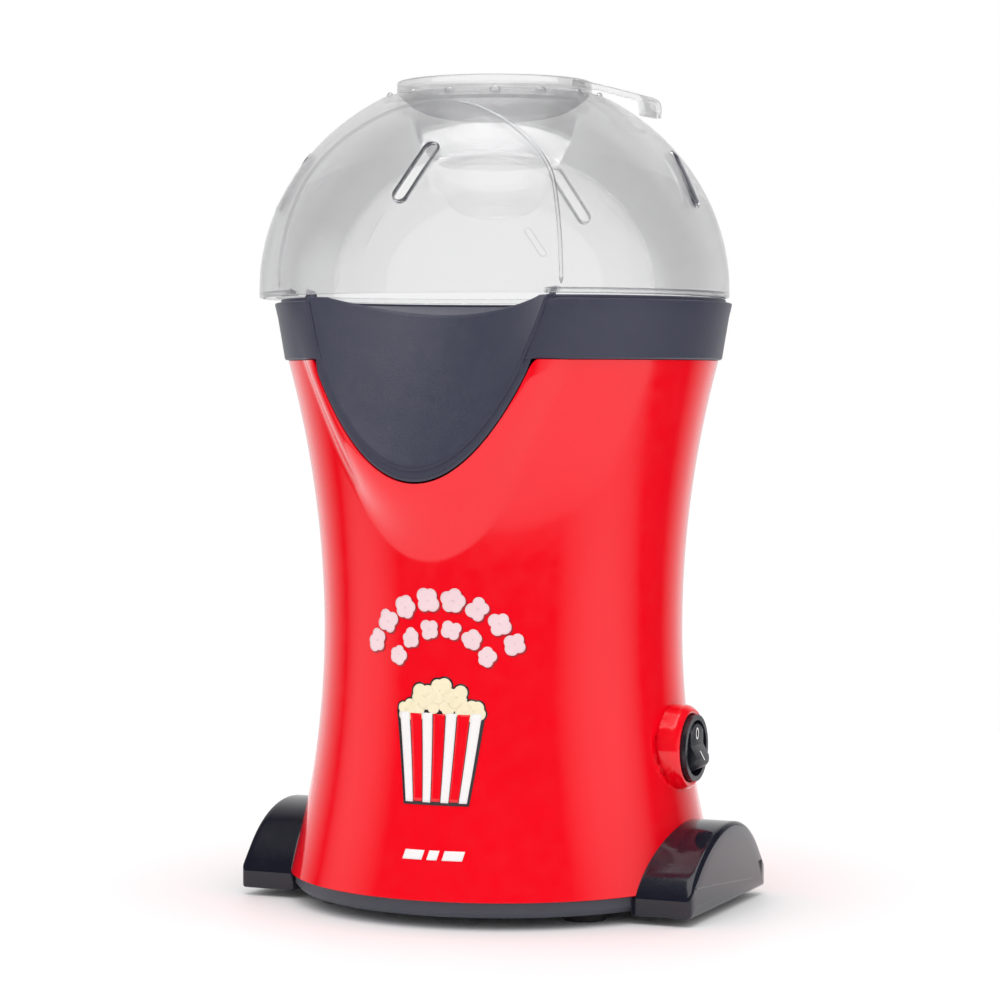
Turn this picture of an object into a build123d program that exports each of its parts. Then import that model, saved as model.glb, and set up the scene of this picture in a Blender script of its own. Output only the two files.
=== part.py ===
"""Hot-air popcorn maker: red waisted body, dark top ring with a front chute, clear dome lid
and measuring cup, aluminium popping chamber over a heater and a motor-driven fan.

Millimetres, +Z up, front towards -Y. The origin is on the surface the machine stands on, at
the middle of its outline. The body's own axis stands a little behind it, because the lid
overhangs at the front. Heights are from the floor; sketch positions are from the body's axis.
"""
from build123d import *
import math
import os

# ---------------------------------------------------------------- driving dimensions
AXIS_Y = 4.8            # body axis, measured from the origin
WALL = 2.4              # moulded walls
FIT = 0.3               # gap between pieces that lift apart

# red body: two parabolas that meet at the waist
BODY_BOTTOM = 9.5
BODY_TOP = 192.0
WAIST_Z = 97.0
WAIST_R = 64.1
SPREAD_UP = 0.001406    # radius gained per mm squared above the waist
SPREAD_DOWN = 0.00162   # and below it

# front chute: a round channel cut by a tilted cylinder
CHUTE_R = 60.5
CHUTE_WALL = 3.3
CHUTE_Y = -100.4        # a point on the cylinder's axis
CHUTE_Z = 237.2
CHUTE_TILT = 29.15      # degrees of the axis from vertical
CHUTE_BOTTOM = 149.0
BIB_TOP_R = 80.4        # outer face that the chute and the body's swelling share
BIB_BEND_Z = 187.0
BIB_LOW_R = 75.8
BIB_LOW_Z = 150.0
SWELL_WIDTH = 16.0      # the body's swelling fades over this distance from the chute

# top ring
RING_TOP = 213.5
RING_LOW_R = 78.0
RING_TOP_R = 81.6
LEDGE_R = 72.0
SKIRT_R = 72.0          # locating skirt inside the body's top edge
RING_HOLLOW_Z = 209.6   # roof of the hollow between skirt and outer wall
DECK_R = 42.0           # inner edge of the sloping deck, over the popping chamber
DECK_Z = 206.0
GROOVE_R = 69.2
GROOVE_Z = 211.0

# clear lid, an ellipsoid set forward of the body's axis
LID_FORWARD = 8.0
LID_R = 83.2
LID_RISE = 77.0
LID_WALL = 2.0
LID_CENTRE_Z = 216.5
LID_RIM_Z = RING_TOP + FIT
LID_TOP = 285.2
NECK_R = 32.0
NECK_LOW = 279.5
FLANGE_R = 77.5
FLANGE_TOP = 215.6
FLANGE_GAP = 36.0       # half angle without flange over the chute, degrees
VENT_AZIMUTHS = (2, -64, 91, 180)
VENT_LENGTH = 25.0
VENT_WIDTH = 5.0
VENT_RISE = 30.0        # parametric angle of a vent's middle on the ellipse
VENT_LEAN = 21.0        # degrees a vent leans from straight up the slope
TAB_AZIMUTHS = (120, 180, 240)

# measuring cup
CUP_TOP = 290.0
CUP_RIM_R = 34.5
CUP_RIM_LOW = LID_TOP + FIT
CUP_WALL = 1.8
CUP_FLOOR = 260.0
CUP_FLOOR_R = 17.0
CUP_BULGE_R = 26.5      # where the rounded bottom meets the flaring side
CUP_BULGE_Z = 267.5
CUP_NECK_R = 31.4
HANDLE_REACH = 58.0
HANDLE_HALF = 9.0

# popping chamber, shroud and heater
CHAMBER_R = 42.8
CHAMBER_WALL = 1.0
CHAMBER_LOW = 122.0
CHAMBER_TOP = 203.4
LOUVRES = 16
SHROUD_R = 46.8
SHROUD_TOP = 190.0
SHEET = 0.8             # steel sheet
EAR_AZIMUTHS = (60, 180, 300)
EAR_R = 51.0
EAR_SCREW_R = 1.3
HEATER_R = 36.8
HEATER_LOW = 77.0
HEATER_TOP = 119.0
MICA_HALF = 32.5
MICA_THICK = 2.0
MICA_LOW = 79.0
MICA_TOP = 116.0
COIL_R = 33.0           # to the corners of the wound wire
COIL_TURNS = 6
COIL_PITCH = 5.2
COIL_LOW = 82.0
WIRE_R = 0.9
THERMOSTAT_R = 8.0
THERMOSTAT_Z = 96.0
THERMOSTAT_BACK = -45.0
THERMOSTAT_FACE = -38.6
FUSE_Y = 39.0
FUSE_LOW = 88.0
FUSE_TOP = 102.0
LEAD_R = 0.5

# fan and motor
FAN_CASE_R = 42.0
FAN_CASE_LOW = 7.0
IMPELLER_R = 36.0
IMPELLER_LOW = 53.0
IMPELLER_TOP = 66.0
BLADES = 11
MOTOR_R = 14.0
MOTOR_LOW = 10.5
MOTOR_TOP = 48.0
CAN_WALL = 1.2
CAP_THICK = 2.5
BEARING_R = 3.0
SHAFT_R = 1.6
BEARING_FIT = 0.05
BRACKET_TOP = 50.0
BRACKET_SCREWS = ((-8, 0), (8, 0))
BOARD_Y = 47.0
BOARD_THICK = 1.6
BOARD_HALF = 15.0
BOARD_LOW = 26.0
BOARD_TOP = 64.0
DIODE_X = (-10.5, -3.5, 3.5, 10.5)
DIODE_R = 2.6
DIODE_LOW = 41.0
DIODE_TOP = 49.0

# base, feet
PLATE_R = 74.8
PLATE_LOW = 4.0
PLATE_TOP = 7.0
SCREW_SPOTS = ((22, 62.2), (-22, 62.2), (22, -62.2), (-22, -62.2))
PAD_SPOTS = ((46, 36), (-46, 36), (46, -36), (-46, -36))
SCREW_PILOT_R = 1.5
SCREW_POST_R = 5.5
SCREW_POST_LOW = 14.5
PAD_R = 8.0
PAD_PLUG_R = 3.0
FOOT_END = 87.0
FOOT_HALF = 39.0
FOOT_LOW = 2.8
FOOT_CURVE_R = 600.0    # the outer end bulges a little, seen from above
FOOT_ARC_R = 46.0
FOOT_ARC_Z = -15.0
FOOT_SCREWS = ((20, 18), (-20, 18))   # (y, z)
FOOT_SCREW_R = 1.6
FOOT_SCREW_HEAD = 65.0                # x of the head's inner face

# rocker switch on the right side
SWITCH_Z = 56.3
SWITCH_FACE = 72.0
BOSS_R = 14.7
BEZEL_R = 11.65
BEZEL_THICK = 1.8
BARREL_R = 10.6
BARREL_DEPTH = 17.0
ROCKER_PIVOT = 69.5
ROCKER_SWING = 28.0
ROCKER_BALL = 9.5
ROCKER_HALF = 7.6

# cord gland at the back
GLAND_Z = 22.0
GLAND_R = 6.0
GLAND_BORE = 3.6
GLAND_FLANGE_R = 8.5

# ---------------------------------------------------------------- planes and axes
BODY_AXIS = Axis((0, AXIS_Y, 0), (0, 0, 1))
LID_AXIS = Axis((0, AXIS_Y - LID_FORWARD, 0), (0, 0, 1))
MERIDIAN = Plane(origin=(0, AXIS_Y, 0), x_dir=(1, 0, 0), z_dir=(0, -1, 0))
LID_MERIDIAN = Plane(origin=(0, AXIS_Y - LID_FORWARD, 0), x_dir=(1, 0, 0), z_dir=(0, -1, 0))
TILT = math.radians(CHUTE_TILT)
CHUTE_PLANE = Plane(
    origin=(0, AXIS_Y + CHUTE_Y, CHUTE_Z),
    x_dir=(1, 0, 0),
    z_dir=(0, -math.sin(TILT), -math.cos(TILT)),
)


def level(height):
    """Horizontal plane at a height, centred on the body's axis."""
    return Plane((0, AXIS_Y, height))


def lid_level(height):
    """Horizontal plane centred on the lid's axis."""
    return Plane((0, AXIS_Y - LID_FORWARD, height))


def side_plane(x, height):
    """Upright plane facing +X: sketch x runs to the back, sketch y runs up."""
    return Plane(origin=(x, AXIS_Y, height), x_dir=(0, 1, 0), z_dir=(1, 0, 0))


def azimuth_spot(azimuth, radius):
    """Point on a circle about the axis, with azimuth 0 at the front and 90 on the right."""
    turn = math.radians(azimuth)
    return (radius * math.sin(turn), -radius * math.cos(turn))


# ---------------------------------------------------------------- shared shapes
def turned(points, plane=MERIDIAN, axis=BODY_AXIS, mode=Mode.ADD):
    """Solid of revolution of a closed outline of (radius, height) points."""
    with BuildSketch(plane) as outline:
        with BuildLine():
            Polyline(*points, close=True)
        make_face()
    revolve(outline.sketch, axis=axis, mode=mode)


def discs(radius, bottom, top, spots=((0, 0),), mode=Mode.ADD):
    """Upright cylinders, one at each (x, y) spot."""
    with BuildSketch(level(bottom)) as outline:
        with Locations(*spots):
            Circle(radius)
    extrude(outline.sketch, amount=top - bottom, mode=mode)


def pins(radius, start, end, spots, mode=Mode.ADD):
    """Cylinders along +X from x = start to x = end, one at each (y, z) spot."""
    with BuildSketch(side_plane(start, 0)) as outline:
        with Locations(*spots):
            Circle(radius)
    extrude(outline.sketch, amount=end - start, mode=mode)


def block(low, high, mode=Mode.ADD):
    """Box between two (x, y, z) corners."""
    with BuildSketch(level(low[2])) as outline:
        with Locations(((low[0] + high[0]) / 2, (low[1] + high[1]) / 2)):
            Rectangle(high[0] - low[0], high[1] - low[1])
    extrude(outline.sketch, amount=high[2] - low[2], mode=mode)


def chute_barrel(radius, mode):
    """The tilted cylinder that shapes the chute."""
    with BuildSketch(CHUTE_PLANE) as outline:
        Circle(radius)
    extrude(outline.sketch, amount=150, both=True, mode=mode)


def body_radius(height):
    """Outer radius of the plain body."""
    spread = SPREAD_UP if height > WAIST_Z else SPREAD_DOWN
    return WAIST_R + spread * (height - WAIST_Z) ** 2


def bib_radius(height):
    """Outer radius of the chute's rim: upright above the bend, tapering in below it."""
    slope = (BIB_TOP_R - BIB_LOW_R) / (BIB_BEND_Z - BIB_LOW_Z)
    return BIB_TOP_R - slope * max(0.0, BIB_BEND_Z - height)


def plain_body(top, mode):
    """The lower body as a solid, for pieces that sit against its outside."""
    heights = [BODY_BOTTOM + (top - BODY_BOTTOM) * k / 6 for k in range(7)]
    side = [(body_radius(z) + 0.05, z) for z in heights]
    turned([(0, 0), (body_radius(BODY_BOTTOM) + 0.05, 0), *side, (0, top)], mode=mode)


def swollen_radius(azimuth, height, wall):
    """Body radius with the swelling that rises to meet the chute's rim, less a wall."""
    plain = body_radius(height)
    rim = bib_radius(height)
    x, y = azimuth_spot(azimuth, rim)
    across = (y - CHUTE_Y) * math.cos(TILT) - (height - CHUTE_Z) * math.sin(TILT)
    outside = math.hypot(x, across) - CHUTE_R - CHUTE_WALL
    fade = min(1.0, max(0.0, 1.0 - outside / SWELL_WIDTH)) if abs(azimuth) < 90 else 0.0
    swell = fade * fade * (3 - 2 * fade)
    return plain + (rim - plain) * swell - wall


def body_solid(wall, bottom, top, mode=Mode.ADD):
    """Loft through level sections of the swollen body."""
    sections = 16
    steps = 48
    faces = []
    for i in range(sections + 1):
        height = bottom + (top - bottom) * i / sections
        turns = [-180 + 360 * k / steps for k in range(steps)]
        points = [azimuth_spot(t, swollen_radius(t, height, wall)) for t in turns]
        with BuildSketch(level(height)) as section:
            with BuildLine():
                Spline(*points, periodic=True)
            make_face()
        faces.append(section.sketch.faces()[0])
    loft(faces, mode=mode)


os.makedirs("parts", exist_ok=True)

# ---------------------------------------------------------------- body shell
with BuildPart() as body_shell:
    body_solid(0, BODY_BOTTOM, BODY_TOP)
    pins(BOSS_R, 40, SWITCH_FACE, ((0, SWITCH_Z),))
    body_solid(WALL, BODY_BOTTOM - 1, BODY_TOP + 1, mode=Mode.SUBTRACT)
    discs(SCREW_POST_R, SCREW_POST_LOW, 30, SCREW_SPOTS)
    discs(SCREW_PILOT_R, SCREW_POST_LOW, 26, SCREW_SPOTS, mode=Mode.SUBTRACT)
    chute_barrel(CHUTE_R + CHUTE_WALL + 0.1, Mode.SUBTRACT)
    pins(BARREL_R + 0.1, 40, 80, ((0, SWITCH_Z),), mode=Mode.SUBTRACT)
    pins(2.0, -80, 80, FOOT_SCREWS, mode=Mode.SUBTRACT)
    with BuildSketch(Plane(origin=(0, AXIS_Y, GLAND_Z), x_dir=(1, 0, 0), z_dir=(0, 1, 0))) as hole:
        Circle(GLAND_R + 0.1)
    extrude(hole.sketch, amount=90, mode=Mode.SUBTRACT)
body_shell.part.label = "body_shell"
export_step(body_shell.part, "parts/body_shell.step")

# ---------------------------------------------------------------- top ring and chute
EAR_SPOTS = [azimuth_spot(a, EAR_R) for a in EAR_AZIMUTHS]
DECK_TOP = [(LEDGE_R, RING_TOP), (LEDGE_R, GROOVE_Z), (GROOVE_R, GROOVE_Z),
            (GROOVE_R, RING_TOP - 0.9), (DECK_R, DECK_Z)]

with BuildPart() as top_ring:
    turned([
        (RING_LOW_R, BODY_TOP), (RING_TOP_R, RING_TOP - 1.3), (RING_TOP_R - 2.3, RING_TOP - 1.3),
        (RING_TOP_R - 2.3, RING_TOP), *DECK_TOP, (DECK_R, DECK_Z - WALL),
        (LEDGE_R - 3.2, GROOVE_Z - WALL), (SKIRT_R - 2, GROOVE_Z - WALL), (SKIRT_R - 2, BODY_TOP - 8),
        (SKIRT_R, BODY_TOP - 8), (SKIRT_R, RING_HOLLOW_Z), (RING_TOP_R - 2.8, RING_HOLLOW_Z),
        (RING_LOW_R - WALL, BODY_TOP),
    ])
    discs(3.6, SHROUD_TOP, DECK_Z - 1.0, EAR_SPOTS)
    discs(EAR_SCREW_R, SHROUD_TOP, DECK_Z - 4.0, EAR_SPOTS, mode=Mode.SUBTRACT)
    chute_barrel(CHUTE_R + CHUTE_WALL, Mode.SUBTRACT)
top_ring.part.label = "top_ring"
export_step(top_ring.part, "parts/top_ring.step")

with BuildPart() as chute:
    turned([
        (DECK_R, CHUTE_BOTTOM), (bib_radius(CHUTE_BOTTOM), CHUTE_BOTTOM),
        (BIB_TOP_R, BIB_BEND_Z), (BIB_TOP_R, RING_TOP), *DECK_TOP,
    ])
    chute_barrel(CHUTE_R + CHUTE_WALL, Mode.INTERSECT)
    chute_barrel(CHUTE_R, Mode.SUBTRACT)
chute.part.label = "chute"
export_step(chute.part, "parts/chute.step")

# ---------------------------------------------------------------- lid
LID_END = math.degrees(math.asin((LID_TOP - LID_CENTRE_Z) / LID_RISE))
LID_INNER_END = math.degrees(
    math.asin((LID_TOP - LID_WALL - LID_CENTRE_Z) / (LID_RISE - LID_WALL)))


def vent_plane(azimuth):
    """Plane just outside the lid, facing it, with sketch x along the leaning vent."""
    rise = math.radians(VENT_RISE)
    out = azimuth_spot(azimuth, 1.0)
    radius = LID_R * math.cos(rise)
    tilt = math.atan2(math.sin(rise) / LID_RISE, math.cos(rise) / LID_R)
    normal = Vector(out[0] * math.cos(tilt), out[1] * math.cos(tilt), math.sin(tilt))
    slope = Vector(-out[0] * math.sin(tilt), -out[1] * math.sin(tilt), math.cos(tilt))
    beside = Vector(-out[1], out[0], 0)
    lean = math.radians(VENT_LEAN)
    middle = Vector(out[0] * radius, AXIS_Y - LID_FORWARD + out[1] * radius,
                    LID_CENTRE_Z + LID_RISE * math.sin(rise))
    along = slope * math.cos(lean) + beside * math.sin(lean)
    return Plane(origin=middle + normal * 4, x_dir=along, z_dir=normal)


with BuildPart() as dome_lid:
    with BuildSketch(LID_MERIDIAN) as shell:
        with BuildLine():
            outer = EllipticalCenterArc((0, LID_CENTRE_Z), LID_R, LID_RISE, start_angle=0, arc_size=LID_END)
            inner = EllipticalCenterArc((0, LID_CENTRE_Z), LID_R - LID_WALL, LID_RISE - LID_WALL,
                                        start_angle=0, arc_size=LID_INNER_END)
            Polyline(outer @ 1, (NECK_R, LID_TOP), (NECK_R, NECK_LOW), (NECK_R + 1.8, NECK_LOW),
                     (NECK_R + 1.8, LID_TOP - LID_WALL), inner @ 1)
            Polyline(outer @ 0, (LID_R, LID_RIM_Z), (LID_R - LID_WALL, LID_RIM_Z), inner @ 0)
        make_face()
    revolve(shell.sketch, axis=LID_AXIS)
    with BuildSketch(lid_level(LID_RIM_Z)) as flange:
        Circle(LID_R - 0.5)
        Circle(FLANGE_R, mode=Mode.SUBTRACT)
        with BuildLine():
            Polyline((0, 0), azimuth_spot(-FLANGE_GAP, 120), azimuth_spot(FLANGE_GAP, 120), close=True)
        make_face(mode=Mode.SUBTRACT)
    extrude(flange.sketch, amount=FLANGE_TOP - LID_RIM_Z)
    for azimuth in TAB_AZIMUTHS:
        with BuildSketch(Plane((0, AXIS_Y, FLANGE_TOP), x_dir=(*azimuth_spot(azimuth, 1), 0))) as arm:
            with Locations((72.1, 0)):
                Rectangle(4.6, 9.0)
        extrude(arm.sketch, amount=LID_RIM_Z - FLANGE_TOP)
        with BuildSketch(Plane((0, AXIS_Y, FLANGE_TOP), x_dir=(*azimuth_spot(azimuth, 1), 0))) as tab:
            with Locations((70.6, 0)):
                Rectangle(1.6, 9.0)
        extrude(tab.sketch, amount=GROOVE_Z + FIT - FLANGE_TOP)
    with BuildSketch(*[vent_plane(a) for a in VENT_AZIMUTHS]) as vents:
        SlotOverall(VENT_LENGTH, VENT_WIDTH)
    extrude(vents.sketch, amount=-12, mode=Mode.SUBTRACT)
dome_lid.part.label = "dome_lid"
export_step(dome_lid.part, "parts/dome_lid.step")

# ---------------------------------------------------------------- measuring cup
inside_bulge = (CUP_BULGE_R - CUP_WALL, CUP_BULGE_Z + 0.7)

with BuildPart() as measuring_cup:
    with BuildSketch(LID_MERIDIAN) as wall_outline:
        with BuildLine():
            Polyline((0, CUP_FLOOR), (CUP_FLOOR_R, CUP_FLOOR))
            ThreePointArc((CUP_FLOOR_R, CUP_FLOOR), (23.2, CUP_FLOOR + 2.4), (CUP_BULGE_R, CUP_BULGE_Z))
            Polyline((CUP_BULGE_R, CUP_BULGE_Z), (CUP_NECK_R, CUP_RIM_LOW - 1), (CUP_NECK_R, CUP_RIM_LOW),
                     (CUP_RIM_R, CUP_RIM_LOW), (CUP_RIM_R, CUP_TOP),
                     (CUP_RIM_R - CUP_WALL, CUP_TOP), (CUP_RIM_R - CUP_WALL, CUP_RIM_LOW + CUP_WALL),
                     (CUP_NECK_R - CUP_WALL, CUP_RIM_LOW), inside_bulge)
            ThreePointArc(inside_bulge, (22.0, CUP_FLOOR + 3.8), (CUP_FLOOR_R, CUP_FLOOR + CUP_WALL))
            Polyline((CUP_FLOOR_R, CUP_FLOOR + CUP_WALL), (0, CUP_FLOOR + CUP_WALL), (0, CUP_FLOOR))
        make_face()
    revolve(wall_outline.sketch, axis=LID_AXIS)
    with BuildSketch(LID_MERIDIAN) as handle:
        with BuildLine():
            Polyline((33.6, 289.4), (38, 288.6), (HANDLE_REACH, 283.2), (HANDLE_REACH + 2, 281.6),
                     (HANDLE_REACH + 2, 275.4), (HANDLE_REACH, 275.4), (HANDLE_REACH - 0.6, 280.6),
                     (37.4, 286.2), (33.6, 286.9), close=True)
        make_face()
    extrude(handle.sketch, amount=HANDLE_HALF, both=True)
    fillet(measuring_cup.edges().filter_by(GeomType.LINE).filter_by(Axis.Z).sort_by(Axis.X)[-2:], 1.5)
measuring_cup.part.label = "measuring_cup"
export_step(measuring_cup.part, "parts/measuring_cup.step")

# ---------------------------------------------------------------- popping chamber
with BuildPart() as popping_chamber:
    turned([
        (0, 130), (8, CHAMBER_LOW), (35, CHAMBER_LOW), (CHAMBER_R, 130), (CHAMBER_R, CHAMBER_TOP),
        (CHAMBER_R - CHAMBER_WALL, CHAMBER_TOP), (CHAMBER_R - CHAMBER_WALL, 130.5),
        (34.6, CHAMBER_LOW + CHAMBER_WALL), (8.5, CHAMBER_LOW + CHAMBER_WALL), (0, 131.3),
    ])
    with BuildSketch(level(132)) as slots:
        with PolarLocations(CHAMBER_R, LOUVRES):
            Rectangle(8, 2.4, rotation=35)
    extrude(slots.sketch, amount=13, mode=Mode.SUBTRACT)
popping_chamber.part.label = "popping_chamber"
export_step(popping_chamber.part, "parts/popping_chamber.step")

with BuildPart() as chamber_seal:
    turned([(CHAMBER_R, 198.5), (CHAMBER_R + 1.6, 198.5), (CHAMBER_R + 1.6, 202.0), (CHAMBER_R, 202.0)])
chamber_seal.part.label = "chamber_seal"
export_step(chamber_seal.part, "parts/chamber_seal.step")

with BuildPart() as chamber_shroud:
    turned([
        (SHROUD_R - SHEET, SHROUD_TOP), (SHROUD_R, SHROUD_TOP), (SHROUD_R, 117.5),
        (HEATER_R + SHEET + 0.2, 111.5), (HEATER_R + SHEET + 0.2, 107), (HEATER_R + 0.2, 107),
        (HEATER_R + 0.2, 112), (SHROUD_R - SHEET, 118),
    ])
    with BuildSketch(level(SHROUD_TOP - 1.2)) as ears:
        with Locations(*EAR_SPOTS):
            Circle(4.8)
        Circle(SHROUD_R - SHEET, mode=Mode.SUBTRACT)
    extrude(ears.sketch, amount=1.2)
    discs(EAR_SCREW_R + 0.4, SHROUD_TOP - 5, SHROUD_TOP + 5, EAR_SPOTS, mode=Mode.SUBTRACT)
chamber_shroud.part.label = "chamber_shroud"
export_step(chamber_shroud.part, "parts/chamber_shroud.step")

with BuildPart() as chamber_screws:
    discs(3.0, SHROUD_TOP - 3.4, SHROUD_TOP - 1.2, EAR_SPOTS)
    discs(EAR_SCREW_R, SHROUD_TOP - 1.2, SHROUD_TOP + 9, EAR_SPOTS)
chamber_screws.part.label = "chamber_screws"
export_step(chamber_screws.part, "parts/chamber_screws.step")

# ---------------------------------------------------------------- heater
with BuildPart() as heater_tube:
    turned([(HEATER_R - SHEET, HEATER_LOW), (HEATER_R, HEATER_LOW),
            (HEATER_R, HEATER_TOP), (HEATER_R - SHEET, HEATER_TOP)])
heater_tube.part.label = "heater_tube"
export_step(heater_tube.part, "parts/heater_tube.step")


def coil_height(quarter):
    """Height of the heating wire after a number of quarter turns."""
    return COIL_LOW + COIL_PITCH * quarter / 4


with BuildPart() as mica_frame:
    half = MICA_THICK / 2
    block((-MICA_HALF, -half, MICA_LOW), (MICA_HALF, half, MICA_TOP))
    block((-half, -MICA_HALF, MICA_LOW), (half, MICA_HALF, MICA_TOP))
    for arm in range(4):
        for quarter in range(arm, 4 * COIL_TURNS + 1, 4):
            x, y = azimuth_spot(90 * arm, MICA_HALF)
            z = coil_height(quarter)
            block((x - 3.4, y - 3.4, z - 1.5), (x + 3.4, y + 3.4, z + 1.5), mode=Mode.SUBTRACT)
mica_frame.part.label = "mica_frame"
export_step(mica_frame.part, "parts/mica_frame.step")

with BuildPart() as heating_coil:
    route = [(*azimuth_spot(90 * q, COIL_R), coil_height(q)) for q in range(4 * COIL_TURNS + 1)]
    route = [(x, y + AXIS_Y, z) for x, y, z in route]
    with BuildLine() as wire:
        FilletPolyline(*route, radius=4)
    with BuildSketch(Plane(origin=wire.line @ 0, z_dir=wire.line % 0)) as wire_section:
        Circle(WIRE_R)
    sweep(wire_section.sketch, path=wire.line)
heating_coil.part.label = "heating_coil"
export_step(heating_coil.part, "parts/heating_coil.step")

with BuildPart() as thermostat:
    pins(THERMOSTAT_R, THERMOSTAT_BACK, THERMOSTAT_FACE, ((0, THERMOSTAT_Z),))
    block((THERMOSTAT_FACE - 0.4, -3, THERMOSTAT_Z - 3), (-HEATER_R, 3, THERMOSTAT_Z + 3))
    for side in (-4.5, 4.5):
        block((THERMOSTAT_BACK - 6, side - 1.6, THERMOSTAT_Z - 0.4),
              (THERMOSTAT_BACK + 1, side + 1.6, THERMOSTAT_Z + 0.4))
thermostat.part.label = "thermostat"
export_step(thermostat.part, "parts/thermostat.step")

with BuildPart() as thermal_fuse:
    discs(2.0, FUSE_LOW, FUSE_TOP, ((0, FUSE_Y),))
    discs(LEAD_R, FUSE_LOW - 8, FUSE_TOP + 8, ((0, FUSE_Y),))
thermal_fuse.part.label = "thermal_fuse"
export_step(thermal_fuse.part, "parts/thermal_fuse.step")

# ---------------------------------------------------------------- fan and motor
with BuildPart() as fan_housing:
    turned([
        (FAN_CASE_R, FAN_CASE_LOW), (FAN_CASE_R, HEATER_LOW), (34, HEATER_LOW),
        (34, HEATER_LOW - 2), (FAN_CASE_R - 2, HEATER_LOW - 2), (FAN_CASE_R - 2, FAN_CASE_LOW),
    ])
    for height in (32, 58):
        for x in (-11, 11):
            block((x - 2, FAN_CASE_R - 1.4, height - 2), (x + 2, 47, height + 2))
fan_housing.part.label = "fan_housing"
export_step(fan_housing.part, "parts/fan_housing.step")

with BuildPart() as motor_can:
    turned([
        (BEARING_R, MOTOR_TOP - 1.5), (BEARING_R, MOTOR_TOP), (MOTOR_R, MOTOR_TOP),
        (MOTOR_R, MOTOR_LOW + CAP_THICK), (MOTOR_R - CAN_WALL, MOTOR_LOW + CAP_THICK),
        (MOTOR_R - CAN_WALL, MOTOR_TOP - 1.5),
    ])
motor_can.part.label = "motor_can"
export_step(motor_can.part, "parts/motor_can.step")

with BuildPart() as motor_end_cap:
    turned([(BEARING_R, MOTOR_LOW), (MOTOR_R, MOTOR_LOW),
            (MOTOR_R, MOTOR_LOW + CAP_THICK), (BEARING_R, MOTOR_LOW + CAP_THICK)])
motor_end_cap.part.label = "motor_end_cap"
export_step(motor_end_cap.part, "parts/motor_end_cap.step")

with BuildPart() as motor_bearings:
    discs(BEARING_R, MOTOR_LOW, MOTOR_LOW + 3.5)
    discs(BEARING_R, MOTOR_TOP - 2.5, MOTOR_TOP + 1.2)
    discs(SHAFT_R + BEARING_FIT, MOTOR_LOW - 1, MOTOR_TOP + 3, mode=Mode.SUBTRACT)
motor_bearings.part.label = "motor_bearings"
export_step(motor_bearings.part, "parts/motor_bearings.step")

with BuildPart() as motor_magnets:
    with BuildSketch(level(MOTOR_LOW + 6)) as magnets:
        Circle(MOTOR_R - CAN_WALL)
        Circle(MOTOR_R - CAN_WALL - 1.5, mode=Mode.SUBTRACT)
        Rectangle(40, 5, mode=Mode.SUBTRACT)
    extrude(magnets.sketch, amount=26)
motor_magnets.part.label = "motor_magnets"
export_step(motor_magnets.part, "parts/motor_magnets.step")

with BuildPart() as motor_armature:
    with BuildSketch(level(MOTOR_LOW + 8)) as poles:
        Circle(10.6)
        with PolarLocations(8.2, 3):
            Rectangle(8, 2.2, mode=Mode.SUBTRACT)
        Circle(SHAFT_R, mode=Mode.SUBTRACT)
    extrude(poles.sketch, amount=22)
motor_armature.part.label = "motor_armature"
export_step(motor_armature.part, "parts/motor_armature.step")

with BuildPart() as motor_shaft:
    discs(SHAFT_R, MOTOR_LOW - 0.8, IMPELLER_TOP + 1)
motor_shaft.part.label = "motor_shaft"
export_step(motor_shaft.part, "parts/motor_shaft.step")

with BuildPart() as motor_bracket:
    with BuildSketch(level(MOTOR_TOP)) as bracket_outline:
        Circle(15)
        with PolarLocations(27, 3, start_angle=90):
            Rectangle(26, 8)
        Circle(BEARING_R + 0.4, mode=Mode.SUBTRACT)
        with Locations(*BRACKET_SCREWS):
            Circle(1.5, mode=Mode.SUBTRACT)
    extrude(bracket_outline.sketch, amount=BRACKET_TOP - MOTOR_TOP)
    discs(FAN_CASE_R - 2, MOTOR_TOP, BRACKET_TOP, mode=Mode.INTERSECT)
motor_bracket.part.label = "motor_bracket"
export_step(motor_bracket.part, "parts/motor_bracket.step")

with BuildPart() as motor_screws:
    discs(2.4, BRACKET_TOP, BRACKET_TOP + 1.4, BRACKET_SCREWS)
    discs(1.4, MOTOR_TOP, BRACKET_TOP, BRACKET_SCREWS)
motor_screws.part.label = "motor_screws"
export_step(motor_screws.part, "parts/motor_screws.step")

with BuildPart() as fan_impeller:
    discs(IMPELLER_R, IMPELLER_LOW, IMPELLER_LOW + 1.6)
    discs(5, IMPELLER_LOW, IMPELLER_TOP)
    with BuildSketch(level(IMPELLER_LOW + 1.6)) as blades:
        with PolarLocations(25, BLADES):
            Rectangle(22, 1.4, rotation=28)
    extrude(blades.sketch, amount=IMPELLER_TOP - IMPELLER_LOW - 2.6)
    discs(SHAFT_R, IMPELLER_LOW - 1, IMPELLER_TOP + 1, mode=Mode.SUBTRACT)
fan_impeller.part.label = "fan_impeller"
export_step(fan_impeller.part, "parts/fan_impeller.step")

# ---------------------------------------------------------------- rectifier
with BuildPart() as rectifier_board:
    block((-BOARD_HALF, BOARD_Y, BOARD_LOW), (BOARD_HALF, BOARD_Y + BOARD_THICK, BOARD_TOP))
rectifier_board.part.label = "rectifier_board"
export_step(rectifier_board.part, "parts/rectifier_board.step")

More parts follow.
